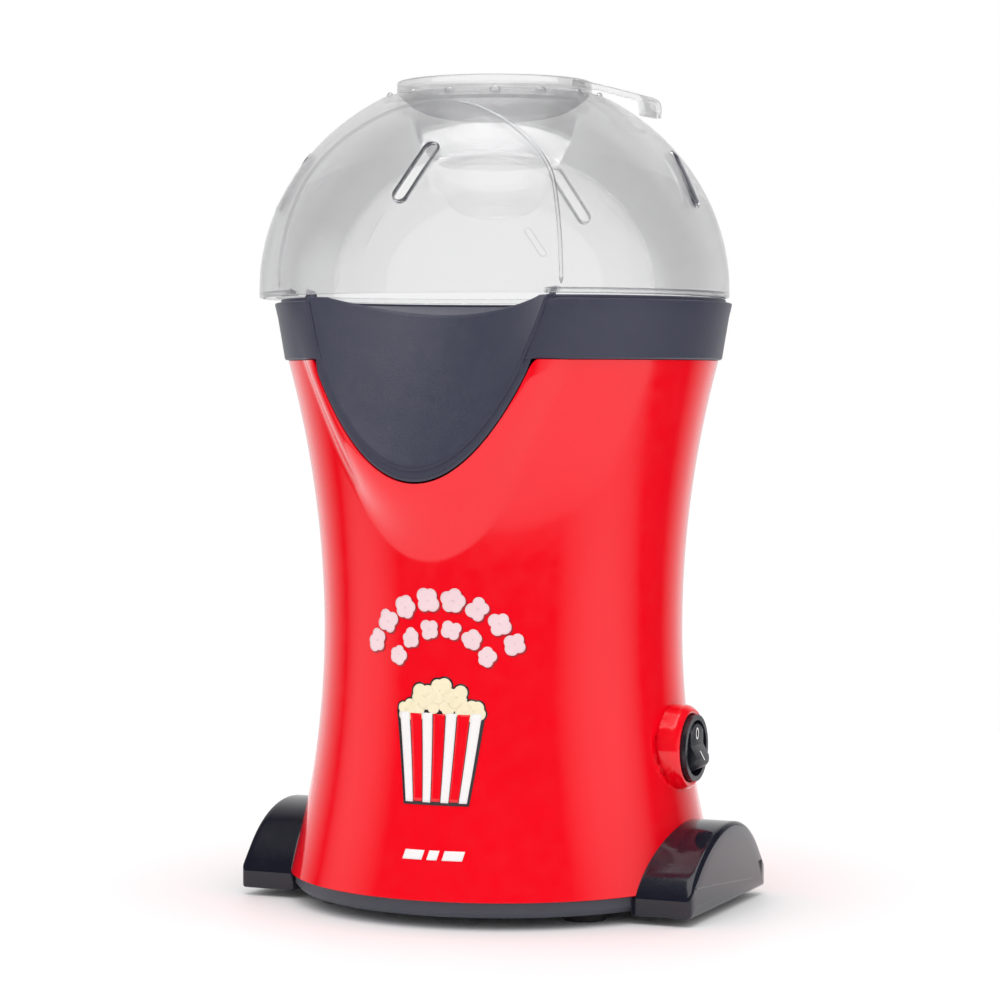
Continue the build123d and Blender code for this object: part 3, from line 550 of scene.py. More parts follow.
RED = moulded_plastic("glossy_red_shell", (0.86, 0.0006, 0.008), (0.92, 0.0012, 0.013), (0.10, 0.17),
                      0.030, 160.0, dust=0.004, coat=0.35, ior=1.46)
DARK = moulded_plastic("charcoal_mould_grain", (0.040, 0.042, 0.070), (0.052, 0.055, 0.086),
                       (0.34, 0.46), 0.55, 2600.0, dust=0.04, ior=1.42)
BASE_DARK = moulded_plastic("base_charcoal", (0.050, 0.054, 0.074), (0.062, 0.066, 0.088),
                            (0.40, 0.55), 0.45, 2400.0, dust=0.06)
GLOSS_BLACK = moulded_plastic("gloss_black_feet", (0.0075, 0.0085, 0.016), (0.013, 0.014, 0.024),
                              (0.07, 0.15), 0.03, 220.0, dust=0.015, coat=0.2, ior=1.45)
SWITCH_BLACK = moulded_plastic("switch_black", (0.010, 0.011, 0.017), (0.016, 0.018, 0.026),
                               (0.24, 0.36), 0.20, 2400.0, dust=0.03)
RUBBER = moulded_plastic("rubber_pad", (0.012, 0.012, 0.014), (0.026, 0.026, 0.028),
                         (0.62, 0.82), 0.5, 1400.0, dust=0.14)
SILICONE = moulded_plastic("silicone_seal", (0.52, 0.52, 0.50), (0.60, 0.60, 0.57),
                           (0.45, 0.60), 0.2, 900.0, dust=0.05)
NYLON = moulded_plastic("natural_nylon", (0.72, 0.72, 0.68), (0.80, 0.80, 0.77),
                        (0.35, 0.48), 0.2, 1200.0, dust=0.08)
MICA = moulded_plastic("flaky_mica", (0.50, 0.40, 0.25), (0.64, 0.56, 0.42),
                       (0.25, 0.55), 0.6, 300.0, dust=0.05)
BOARD = moulded_plastic("board_green", (0.03, 0.16, 0.07), (0.05, 0.22, 0.10),
                        (0.25, 0.40), 0.25, 800.0, dust=0.08)
COMPONENT = moulded_plastic("component_black", (0.014, 0.014, 0.016), (0.024, 0.024, 0.027),
                            (0.45, 0.60), 0.3, 1800.0, dust=0.08)
ALUMINIUM = sheet_metal("spun_aluminium", (0.62, 0.62, 0.63), (0.78, 0.78, 0.79), (0.24, 0.42),
                        (0.03, 0.03, 1.0))
TINNED = sheet_metal("tinned_sheet", (0.46, 0.46, 0.45), (0.62, 0.62, 0.61), (0.28, 0.45),
                     (1.0, 1.0, 0.06))
STEEL = sheet_metal("plated_steel", (0.42, 0.42, 0.43), (0.58, 0.58, 0.58), (0.25, 0.40),
                    (0.3, 0.3, 1.0))
HEATED_WIRE = sheet_metal("resistance_wire", (0.20, 0.18, 0.17), (0.36, 0.32, 0.28), (0.40, 0.60),
                          (1.0, 1.0, 0.2))
BRONZE = sheet_metal("stamped_bronze", (0.50, 0.32, 0.13), (0.64, 0.44, 0.22), (0.28, 0.44),
                     (1.0, 0.2, 1.0))
FERRITE = sheet_metal("ferrite", (0.05, 0.05, 0.055), (0.09, 0.09, 0.095), (0.45, 0.60),
                      (1.0, 1.0, 1.0), 500.0)
CLEAR = clear_plastic("clear_polycarbonate", (0.90, 0.90, 0.915), (0.96, 0.96, 0.965), 0.30, 0.96)
# Dark, nearly opaque clear plastic for the vent lips: painted shade standing in for the dark line that clear
# plastic shows at its edges
VENT_EDGE_SHADE = clear_plastic("painted_edge_shade", (0.05, 0.05, 0.075), (0.11, 0.11, 0.14), 0.85, 0.98)
INK_BLACK = printed_ink("ink_black", (0.010, 0.009, 0.012), (0.022, 0.018, 0.024))
INK_WHITE = printed_ink("ink_white", (0.86, 0.84, 0.84), (0.92, 0.90, 0.90))
INK_PINK = printed_ink("ink_pale_pink", (0.84, 0.60, 0.63), (0.90, 0.70, 0.73))
INK_CRIMSON = printed_ink("ink_crimson", (0.35, 0.002, 0.01), (0.42, 0.004, 0.014))
INK_CREAM = printed_ink("ink_cream", (0.88, 0.78, 0.52), (0.92, 0.84, 0.62))

CARRIED_OVER = {
    "popping_chamber": ALUMINIUM, "chamber_seal": SILICONE, "chamber_shroud": TINNED,
    "chamber_screws": STEEL, "heater_tube": TINNED, "mica_frame": MICA, "heating_coil": HEATED_WIRE,
    "thermostat": COMPONENT, "thermal_fuse": TINNED, "fan_housing": BASE_DARK,
    "fan_impeller": NYLON, "motor_can": TINNED, "motor_end_cap": NYLON, "motor_bearings": BRONZE,
    "motor_magnets": FERRITE, "motor_armature": STEEL, "motor_shaft": STEEL,
    "motor_bracket": TINNED, "motor_screws": STEEL, "rectifier_board": BOARD,
    "rectifier_diodes": COMPONENT, "base_plate": BASE_DARK, "base_screws": STEEL,
    "rubber_feet": RUBBER, "foot_screws": STEEL, "switch_terminals": BRONZE,
    "cord_gland": SWITCH_BLACK, "switch_housing": SWITCH_BLACK,
}
for node, finish in CARRIED_OVER.items():
    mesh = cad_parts[node].data
    mesh.materials.clear()
    mesh.materials.append(finish)


# ---------------------------------------------------------------- camera, floor, light
def make_camera():
    """Camera 1.1 m from the axis, a little to the right, looking slightly down."""
    distance, azimuth, height = 1.1, math.radians(23.5), 0.185
    camera = in_scene("camera", bpy.data.cameras.new("camera"))
    camera.location = (distance * math.sin(azimuth), AXIS_Y * MM - distance * math.cos(azimuth), height)
    camera.rotation_euler = (math.radians(90 - 2.24), 0, azimuth + math.radians(0.065))
    camera.data.lens = 110.6
    camera.data.sensor_width = 36.0
    camera.data.clip_end = 20.0
    bpy.context.scene.camera = camera


def make_light(name, place, aim, size, power):
    """Soft rectangular light at a place, turned towards a point."""
    data = bpy.data.lights.new(name, "AREA")
    data.shape = "RECTANGLE"
    data.size, data.size_y = size
    data.energy = power
    light = in_scene(name, data)
    light.location = place
    light.rotation_euler = (Vector(aim) - Vector(place)).to_track_quat("-Z", "Y").to_euler()


def towards(tree, direction, azimuth, low, high):
    """0 to 1 as a direction's part along a level azimuth grows from low to high."""
    node = tree.nodes.new("ShaderNodeVectorMath")
    node.operation = "DOT_PRODUCT"
    tree.links.new(direction, node.inputs[0])
    turn = math.radians(azimuth)
    node.inputs[1].default_value = (math.sin(turn), -math.cos(turn), 0.0)
    return ranged(tree, node.outputs["Value"], low, high, 0.0, 1.0)


def overhead(tree, direction, low, high, strength):
    """0 to a strength as a direction's upward part grows from low to high."""
    split = tree.nodes.new("ShaderNodeSeparateXYZ")
    tree.links.new(direction, split.inputs[0])
    return ranged(tree, split.outputs["Z"], low, high, 0.0, strength)


def make_world():
    """White room. In reflections its front is dark, as behind a camera, with a white panel on
    the right, a dimmer one on the left rear, one overhead and a white wall behind the object."""
    world = bpy.data.worlds.new("studio")
    bpy.context.scene.world = world
    world.use_nodes = True
    tree = world.node_tree
    background = tree.nodes["Background"]
    direction = tree.nodes.new("ShaderNodeTexCoord").outputs["Generated"]
    panel = towards(tree, direction, 88.0, 0.84, 0.99)
    behind = towards(tree, direction, 203.5, 0.50, 0.88)
    rear = towards(tree, direction, 290.0, 0.90, 0.99)
    room = panel
    for light in (product(tree, behind, 0.85), product(tree, rear, 0.7),
                  overhead(tree, direction, 0.80, 0.97, 0.4)):
        room = arithmetic(tree, "MAXIMUM", room, light)
    reflected = ranged(tree, room, 0.0, 1.0, 0.02, 1.0)
    glossy = tree.nodes.new("ShaderNodeLightPath").outputs["Is Glossy Ray"]
    white = arithmetic(tree, "SUBTRACT", 1.0, glossy)
    strength = arithmetic(tree, "ADD", white, product(tree, reflected, glossy))
    tree.links.new(strength, background.inputs["Strength"])
    background.inputs["Color"].default_value = (1.0, 1.0, 1.0, 1.0)


def make_studio():
    """Pale round floor, the white room and one soft light overhead."""
    mesh = bpy.data.meshes.new("studio_floor")
    turn = circle(128)
    rim = FLOOR_R * np.stack([np.cos(turn), np.sin(turn), 0 * turn], -1)
    mesh.from_pydata(rim.tolist(), [], [list(range(128))])
    floor = in_scene("studio_floor", mesh)
    material, tree, shader, coordinates = blank("pale_floor")
    clouds = noise(tree, coordinates, 3.0, 3.0)
    tree.links.new(mix_colour(tree, clouds, (0.93, 0.93, 0.935), (0.95, 0.95, 0.955)),
                   shader.inputs["Base Color"])
    shader.inputs["Roughness"].default_value = 0.55
    mesh.materials.append(material)
    make_world()
    make_light("top_light", (0.1, -0.3, 1.5), (0, 0, 0.1), (1.2, 1.2), 9.0)


bpy.context.scene.view_settings.view_transform = "Standard"
make_camera()
make_studio()


# ---------------------------------------------------------------- red body
def chute_edge_height(azimuth, gap):
    """Height at which the shell's surface meets the chute's outer cylinder, for each azimuth."""
    def clearance(z):
        return BAND_WALL + gap - beyond_chute(polar(azimuth, shell_radius(azimuth, z), z))
    return crossing(clearance, np.full_like(azimuth, 140.0), np.full_like(azimuth, BODY_TOP + 22))


def rounded_low(first, second, width):
    """Smaller of two values, with a rounded corner where they cross."""
    overlap = np.maximum(width - np.abs(first - second), 0) / width
    return np.minimum(first, second) - overlap ** 2 * width / 4


def front_heavy_azimuths(front, count_front, count_rest):
    """Azimuths round the axis, packed closer within +-front of the chute."""
    near = np.linspace(-front, front, count_front, endpoint=False)
    rest = np.linspace(front, 2 * np.pi - front, count_rest, endpoint=False)
    return np.concatenate([near, rest])


def open_behind_switch(work):
    """Takes away the faces inside a round hole on the right side, at the switch's height and about
    Y = 0. The switch's own axis is at AXIS_Y, so the hole lies that far ahead of it."""
    centres = [(face, face.calc_center_median()) for face in work.faces]
    inside = [face for face, centre in centres
              if centre.x > 0 and math.hypot(centre.y, centre.z - SWITCH_Z * MM) < SWITCH_HOLE_R * MM]
    bmesh.ops.delete(work, geom=inside, context="FACES")


def make_red_shell():
    """Shell: azimuth by height grid, its top following the ring and dipping round the chute,
    its two rims rolled in over the last rows."""
    azimuth = front_heavy_azimuths(math.radians(50), 200, 120)
    top = rounded_low(np.full_like(azimuth, BODY_TOP - 0.25), chute_edge_height(azimuth, 0.15), 5.0)
    climb = np.linspace(0, 1, 96)[:, None]
    z = BODY_BOTTOM + 0.3 + (top - BODY_BOTTOM - 0.3) * climb
    radius = shell_radius(azimuth[None], z)
    roll_z, roll_r = np.array([0.12, 0.05, 0.0]), np.array([0.35, 0.75, RIM_ROLL])
    low_rows = polar(azimuth, radius[0] - roll_r[::-1, None], z[0] - 0.3)
    high_rows = polar(azimuth, radius[-1] - roll_r[:, None], z[-1] + 0.25 - roll_z[:, None])
    grid = np.concatenate([low_rows, polar(azimuth[None], radius, z), high_rows])
    piece = surface("red_body_shell", grid, RED, "housing", "red_shell", wrap_cols=True, sharp=60)
    reworked(piece.data, open_behind_switch)
    walled(piece, SHELL_WALL - RIM_ROLL)
    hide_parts("body_shell")


def make_switch_boss():
    """Red round boss that carries the switch: a ring outline about the switch's axis."""
    outline = [(11.9, 60), (15.4, 60), (15.0, SWITCH_FACE - 3.6), (13.3, SWITCH_FACE - 1.6),
               (11.9, SWITCH_FACE - 1.9)]
    side_lathe("switch_boss", eased(outline, [0.1, 0.1, 1.6, 1.2, 0.6], 6)[::-1], RED, "housing",
               "red_shell")


# ---------------------------------------------------------------- dark ring and chute
def ring_radius(z):
    """Outer face of the ring, a straight taper."""
    return RING_LOW_R + (RING_TOP_R - RING_LOW_R) * (z - BODY_TOP) / (RING_TOP - RIM_DROP - BODY_TOP)


def deck_height(radius):
    """Upper side of the ring: a flat ledge, then a cone down to the popping chamber."""
    slope = (RING_TOP - 0.9 - DECK_Z) / (GROOVE_R - DECK_R)
    return np.where(radius > LEDGE_R, RING_TOP, np.minimum(RING_TOP, DECK_Z + (radius - DECK_R) * slope))


def ring_section():
    """Upper and lower sides of the ring's section as paired (radius, height) points, from the outer
    wall's foot over the rim, ledge and groove and down the deck. The lower side steps aside once
    for the locating skirt."""
    step_r = RING_TOP_R - LEDGE_STEP
    rim_z = RING_TOP - RIM_DROP
    deck = np.linspace(68.0, DECK_R + 1.2, 16)
    deck_top = np.stack([deck, deck_height(deck)], -1)
    skirt = [(LEDGE_R, BODY_TOP - 8), (SKIRT_R, BODY_TOP - 8), (SKIRT_R, SKIRT_Z)]
    under = [(r, UNDERSIDE_Z) for r in (78.0, 77.6, 77.0, 76.4, 75.8, 74.0, 73.2, LEDGE_R)]
    groove = [(r, GROOVE_Z) for r in (LEDGE_R, 71.2, 70.6, 70.0, GROOVE_R)]
    upper = np.array([
        (RING_LOW_R - 0.5, BODY_TOP), (RING_LOW_R, BODY_TOP + 0.5), (80.4, 207.0),
        (RING_TOP_R - 0.15, rim_z - 0.7), (RING_TOP_R - 0.3, rim_z - 0.2), (RING_TOP_R - 0.9, rim_z),
        (step_r + 0.2, rim_z), (step_r, rim_z + 0.2), (step_r, RING_TOP - 0.4), (step_r - 0.4, RING_TOP),
        (LEDGE_R + 0.3, RING_TOP), (LEDGE_R, RING_TOP - 0.3), *groove,
        (GROOVE_R, RING_TOP - 1.1), (68.9, RING_TOP - 0.92),
        *deck_top, (DECK_R + 0.3, DECK_Z - 0.2), (DECK_R, DECK_Z - 0.8)])
    lower = np.array([
        (RING_LOW_R - 2.4, BODY_TOP), (RING_LOW_R - 2.4, BODY_TOP + 0.5), (78.2, 207.0),
        (78.6, 209.2), (78.4, 209.5), *under, *skirt, (69.6, SKIRT_Z), (GROOVE_R, SKIRT_Z),
        (68.9, 208.55), *(deck_top - (0, DECK_WALL)), (DECK_R + 0.6, DECK_Z - DECK_WALL),
        (DECK_R + 0.3, DECK_Z - 2.2)])
    return upper, lower


def make_ring():
    """Ring: the section carried from one side of the chute round the back to the other. Each
    section point stops where it meets the chute, or goes all the way round where it does not, the
    outer face swells to its rim there, and quads between the two sides close the ends."""
    upper, lower = ring_section()
    pairs = len(upper)
    outline = np.concatenate([upper, lower[::-1]])
    radius, z = outline[:, 0], outline[:, 1]
    lift = np.where(radius > 74.0, bib_radius(z) - ring_radius(z), 0.0)

    def clearance(azimuth):
        return beyond_chute(polar(azimuth, radius + lift, z)) - BEAD

    start = crossing(clearance, np.zeros_like(z), np.full_like(z, 1.2))
    start = np.where(clearance(np.zeros_like(z)) > 0, 0.0, start)
    even = np.linspace(0, 1, 300)
    share = even - 0.12 * np.sin(2 * np.pi * even) / (2 * np.pi)
    azimuth = start[:, None] + (2 * np.pi - 2 * start[:, None]) * share
    fade = swelling(azimuth, z[:, None], start=BEAD)
    grid = polar(azimuth, radius[:, None] + lift[:, None] * fade, z[:, None])
    rows, cols = grid.shape[:2]
    above, below = np.arange(pairs - 1), rows - 1 - np.arange(pairs - 1)
    cap = np.stack([above, above + 1, below - 1, below], -1)
    cap = cap[(start[cap] > 0).any(axis=1)]
    faces = np.concatenate([weave(rows, cols, wrap_rows=True), cap[:, ::-1] * cols, cap * cols + cols - 1])
    piece = mesh_from("top_ring_shell", grid, faces, DARK, "housing", "dark_plastic", sharp=30)
    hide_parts("top_ring")


def chute_point(turn, along, radius):
    """Point on a cylinder about the chute's axis: turn from its deepest line, distance along."""
    sine, cosine = math.sin(CHUTE_TILT), math.cos(CHUTE_TILT)
    deep = radius * np.cos(turn)
    return np.stack(np.broadcast_arrays(
        radius * np.sin(turn), CHUTE_Y - along * sine + deep * cosine,
        CHUTE_Z - along * cosine - deep * sine), -1)


def make_chute():
    """Chute liner: turn round the channel by distance along it. The first rows roll over the
    deck's edge, the next follow the channel, and the last make the bead and the rim's face."""
    def off_axis(points):
        return np.hypot(points[..., 0], points[..., 1])

    def crest(turn, radius, drop):
        def fall(along):
            points = chute_point(turn, along, radius)
            return deck_height(off_axis(points)) - drop - points[..., 2]
        return crossing(fall, np.full_like(turn, -25.0), np.full_like(turn, 90.0))

    def lip(turn, radius, proud):
        def reach(along):
            points = chute_point(turn, along, radius)
            return off_axis(points) - bib_radius(points[..., 2]) - proud
        return crossing(reach, np.full_like(turn, 0.0), np.full_like(turn, 125.0))

    probe = np.linspace(0.5, 1.0, 400)
    meet = lip(probe, CHUTE_R, 0.0) - crest(probe, CHUTE_R, 0.0)
    end = probe[np.argmax(meet < 1.6)]
    turn = end * np.sin(np.linspace(-np.pi / 2, np.pi / 2, 141))
    rows = [chute_point(turn, crest(turn, CHUTE_R + r, d), CHUTE_R + r)
            for r, d in ((2.4, 1.2), (1.3, 0.02), (0.7, 0.0), (0.25, 0.08))]
    begin, finish = crest(turn, CHUTE_R, 0.35), lip(turn, CHUTE_R, -0.55)
    finish = np.maximum(finish, begin + 0.05)
    rows += [chute_point(turn, begin + (finish - begin) * t, CHUTE_R) for t in np.linspace(0, 1, 44)]
    for r, proud in ((0.02, -0.1), (0.12, 0.22), (0.32, 0.36), (0.55, 0.30), (0.75, 0.02),
                     (0.9, -0.16), (1.1, -0.12), (2.0, 0.0), (2.85, 0.0), (3.15, -0.15),
                     (BAND_WALL, -0.5), (BAND_WALL, -1.6), (BAND_WALL, -4.5)):
        along = lip(turn, CHUTE_R + r, proud)
        points = chute_point(turn, along, CHUTE_R + r)
        if r > BEAD:
            sink = 0.7 * np.clip((points[..., 2] - BODY_TOP + 4) / 4, 0, 1)
            points = chute_point(turn, lip(turn, CHUTE_R + r, proud - sink), CHUTE_R + r)
        rows.append(points)
    piece = surface("chute_liner", np.stack(rows), DARK, "housing", "dark_plastic", flip=True, sharp=50)
    walled(piece, 1.2, even=False)
    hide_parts("chute")


# ---------------------------------------------------------------- clear lid
def lid_point(azimuth, rise, out=0.0):
    """Point on the lid's ellipsoid: azimuth, and the angle of rise on its ellipse."""
    points = polar(azimuth, (LID_R + out) * np.cos(rise), LID_CENTRE_Z + (LID_RISE + out) * np.sin(rise))
    points[..., 1] -= LID_FORWARD
    return points


def lid_rise(z):
    """Angle of rise on the lid's ellipse for a height."""
    return np.arcsin(np.clip((z - LID_CENTRE_Z) / LID_RISE, 0, 1))


def vent_axes(azimuth):
    """Middle of a vent, its outward normal, its leaning long direction and its short one."""
    tilt = math.atan2(math.sin(VENT_RISE) / LID_RISE, math.cos(VENT_RISE) / LID_R)
    out = np.array([math.sin(azimuth), -math.cos(azimuth), 0])
    beside = np.array([math.cos(azimuth), math.sin(azimuth), 0])
    normal = out * math.cos(tilt) + np.array([0, 0, math.sin(tilt)])
    slope = -out * math.sin(tilt) + np.array([0, 0, math.cos(tilt)])
    lengthwise = slope * math.cos(VENT_LEAN) + beside * math.sin(VENT_LEAN)
    return (lid_point(np.array(azimuth), np.array(VENT_RISE)), normal, lengthwise,
            np.cross(normal, lengthwise))


def stadium(turn, half_width, centre, lengthwise, side):
    """Two half circles joined by straight sides, about a vent's middle."""
    along = half_width * np.cos(turn) + np.sign(np.cos(turn)) * VENT_STRAIGHT
    across = half_width * np.sin(turn)
    return centre + along[:, None] * lengthwise + across[:, None] * side


def make_vent_cutter():
    """Stadium prisms through the lid's wall, one for each vent, drawn on the slope at each
    azimuth."""
    turn = circle(32)
    grids = []
    for azimuth in VENT_AZIMUTHS:
        centre, normal, lengthwise, side = vent_axes(azimuth)
        ring = stadium(turn, VENT_HALF, centre, lengthwise, side)
        hub = np.repeat(centre[None], len(turn), 0)
        grids.append(np.stack([hub - 6 * normal, ring - 6 * normal, ring + 5 * normal, hub + 5 * normal]))
    cutter = several("vent_cutter", np.stack(grids), CLEAR, "lid", "clear_plastic", wrap_cols=True)
    reworked(cutter.data, turn_out)
    return cutter


def make_lid():
    """Dome: the outer ellipse up to the neck, the neck's collar, and the inner ellipse down again,
    carried round the lid's axis; then the vents are cut through."""
    outer = np.linspace(0, float(lid_rise(LID_TOP)), 56)
    inner = np.linspace(float(lid_rise(LID_TOP - LID_WALL - 1.6)), 0, 50)
    wall = LID_WALL
    outline = np.concatenate([
        [(LID_R - wall, LID_LOW), (LID_R - 0.3, LID_LOW), (LID_R, LID_LOW + 0.3)],
        np.stack([LID_R * np.cos(outer), LID_CENTRE_Z + LID_RISE * np.sin(outer)], -1)[:-1],
        [(36.6, LID_TOP - 0.15), (35.9, LID_TOP), (NECK_R + 0.4, LID_TOP), (NECK_R, LID_TOP - 0.5),
         (NECK_R, LID_TOP - 5.5), (NECK_R + 1.8, LID_TOP - 5.5), (NECK_R + 1.8, LID_TOP - 3.0),
         (NECK_R + 3.0, LID_TOP - 2.2)],
        np.stack([(LID_R - wall) * np.cos(inner), LID_CENTRE_Z + (LID_RISE - wall) * np.sin(inner)], -1)])
    dome = lathe("clear_dome", outline, CLEAR, "lid", "clear_plastic", LID_FORWARD, 200, sharp=45)
    cutter = make_vent_cutter()
    cut = dome.modifiers.new("vents", "BOOLEAN")
    cut.object = cutter
    cut.operation = "DIFFERENCE"
    cut.solver = "EXACT"
    graph = bpy.context.evaluated_depsgraph_get()
    finished = bpy.data.meshes.new_from_object(dome.evaluated_get(graph))
    dome.modifiers.clear()
    dome.data = finished
    finished.set_sharp_from_angle(angle=math.radians(40))
    bpy.data.objects.remove(cutter)
    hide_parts("dome_lid")


def make_vent_rims():
    """Dark lip round each vent, a painted shade for the dark line a cut edge shows in clear plastic:
    a small round section carried along the vent's stadium outline, dropped onto the lid's ellipsoid."""
    turn, small = circle(72), circle(8)
    grids = []
    for azimuth in VENT_AZIMUTHS:
        centre, normal, lengthwise, side = vent_axes(azimuth)
        path = stadium(turn, VENT_RIM_HALF, centre, lengthwise, side)
        flat = path + (0, LID_FORWARD, -LID_CENTRE_Z)
        share = np.sqrt((flat[:, 0] ** 2 + flat[:, 1] ** 2) / LID_R ** 2 + flat[:, 2] ** 2 / LID_RISE ** 2)
        path = flat / share[:, None] - (0, LID_FORWARD, -LID_CENTRE_Z)
        outward = np.cos(turn)[:, None] * lengthwise + np.sin(turn)[:, None] * side
        grids.append(path[:, None] - 0.75 * normal + 0.42 * np.cos(small)[:, None] * outward[:, None]
                     + 1.05 * np.sin(small)[:, None] * normal)
    several("vent_rims", np.stack(grids), VENT_EDGE_SHADE, "lid", "clear_plastic", wrap_rows=True, wrap_cols=True)


def make_lid_flange():
    """Rim inside the dome's edge: a bar's outline carried round the lid's axis, left open over the
    chute."""
    outline = eased([(77.5, LID_LOW), (82.4, LID_LOW), (82.4, LID_LOW + 1.8), (77.5, LID_LOW + 1.8)], 0.3, 2)
    turn = np.linspace(math.radians(36), 2 * np.pi - math.radians(36), 150)
    grid = polar(turn, outline[:, 0][:, None], outline[:, 1][:, None])
    grid[..., 1] -= LID_FORWARD
    piece = surface("lid_flange", grid, CLEAR, "lid", "clear_plastic", wrap_rows=True)
    reworked(piece.data, fill_ends)


def tube_along(path, normals, radius):
    """Round tube about a path: circles in the plane of the surface normal and the side."""
    forward = np.gradient(path, axis=0)
    forward /= np.linalg.norm(forward, axis=1, keepdims=True)
    side = np.cross(forward, normals)
    side /= np.linalg.norm(side, axis=1, keepdims=True)
    turn = circle(10)
    spokes = normals[:, None] * np.cos(turn)[:, None] + side[:, None] * np.sin(turn)[:, None]
    taper = np.ones(len(path))
    taper[0] = taper[-1] = 0.0
    taper[1] = taper[-2] = 0.7
    return path[:, None] + spokes * radius * taper[:, None, None]


def lid_normals(azimuth, rise):
    """Outward normals of the lid's ellipsoid."""
    normal = polar(azimuth, np.cos(rise) / LID_R, np.sin(rise) / LID_RISE)
    return normal / np.linalg.norm(normal, axis=-1, keepdims=True)


def make_lid_hood():
    """Raised outline of the front hood: up both sides, then a quarter ellipse in azimuth and
    height over to the middle."""
    quarter = np.linspace(0, np.pi / 2, 60)
    side = np.full(30, 1.0)
    azimuth = math.radians(39) * np.concatenate([side, np.cos(quarter) ** 0.9])
    height = np.concatenate([np.linspace(LID_CENTRE_Z, 250, 30), 250 + 30 * np.sin(quarter)])
    azimuth = np.concatenate([azimuth, -azimuth[::-1][1:]])
    height = np.concatenate([height, height[::-1][1:]])
    rise = lid_rise(height)
    path, normals = lid_point(azimuth, rise, -0.25), lid_normals(azimuth, rise)
    grid = tube_along(path, normals, 0.75)
    surface("lid_hood_outline", grid, CLEAR, "lid", "clear_plastic", wrap_cols=True, flip=True)


def make_neck_nubs():
    """Small rounded nubs round the neck: squashed spheres, equally spaced."""
    count = 15
    lon, lat = circle(12), np.linspace(-np.pi / 2, np.pi / 2, 9)
    ball = np.stack([2.0 * np.cos(lat)[:, None] * np.cos(lon), 1.1 * np.cos(lat)[:, None] * np.sin(lon),
                     1.3 * np.sin(lat)[:, None] + 0 * lon], -1)
    turn = np.arange(count) * 2 * np.pi / count
    place = polar(turn, 38.6, LID_TOP - 0.9)
    across = np.stack([np.cos(turn), np.sin(turn), 0 * turn], -1)
    out = np.stack([np.sin(turn), -np.cos(turn), 0 * turn], -1)
    grids = (place[:, None, None] + ball[None, ..., 0:1] * across[:, None, None]
             + ball[None, ..., 1:2] * out[:, None, None] + ball[None, ..., 2:3] * np.array([0, 0, 1.0]))
    grids[..., 1] -= LID_FORWARD
    several("neck_nubs", grids, CLEAR, "lid", "clear_plastic", wrap_cols=True)


# ---------------------------------------------------------------- clear cup
def make_cup():
    """Cup: outline of rim, step, tapering wall and rounded floor, carried round the lid's axis."""
    low = LID_TOP + 0.3
    outline = eased([
        (0.01, CUP_FLOOR), (19.5, CUP_FLOOR), (26.5, 267.5), (31.3, low - 1), (31.3, low),
        (CUP_RIM_R, low), (CUP_RIM_R, CUP_TOP), (CUP_RIM_R - 1.7, CUP_TOP), (CUP_RIM_R - 1.7, low + 1.7),
        (29.6, low), (24.7, 268.2), (18.6, CUP_FLOOR + 1.8), (0.01, CUP_FLOOR + 1.8)],
        [0, 6, 5, 0.8, 0.5, 0.8, 0.8, 0.8, 1.2, 1.5, 5, 5, 0], 7)
    cup = lathe("clear_cup", outline, CLEAR, "cup", "clear_plastic", LID_FORWARD, 128, sharp=50)
    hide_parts("measuring_cup")


def make_cup_handle():
    """Thumb handle: a flat section carried out from the rim and turned down at its end, with
    rounded corners in plan."""
    path = eased([(33.4, 288.2), (38, 287.5), (HANDLE_END - 1.2, 281.8), (HANDLE_END - 1.0, 276.0)],
                 [0, 3, 2.4, 0], 6, closed=False)
    section = eased([(-9, -1.1), (9, -1.1), (9, 1.1), (-9, 1.1)], 0.8, 3)
    ahead = np.gradient(path, axis=0)
    ahead /= np.linalg.norm(ahead, axis=1, keepdims=True)
    upward = np.stack([-ahead[:, 1], ahead[:, 0]], -1)
    width = np.ones(len(path))
    width[-1] = 0.93
    x = path[:, 0][:, None] + upward[:, 0][:, None] * section[:, 1]
    z = path[:, 1][:, None] + upward[:, 1][:, None] * section[:, 1]
    y = -LID_FORWARD + section[:, 0] * width[:, None]
    piece = surface("cup_handle", np.stack([x, y, z], -1), CLEAR, "cup", "clear_plastic",
                    wrap_cols=True, flip=True)
    reworked(piece.data, fill_ends, turn_out)


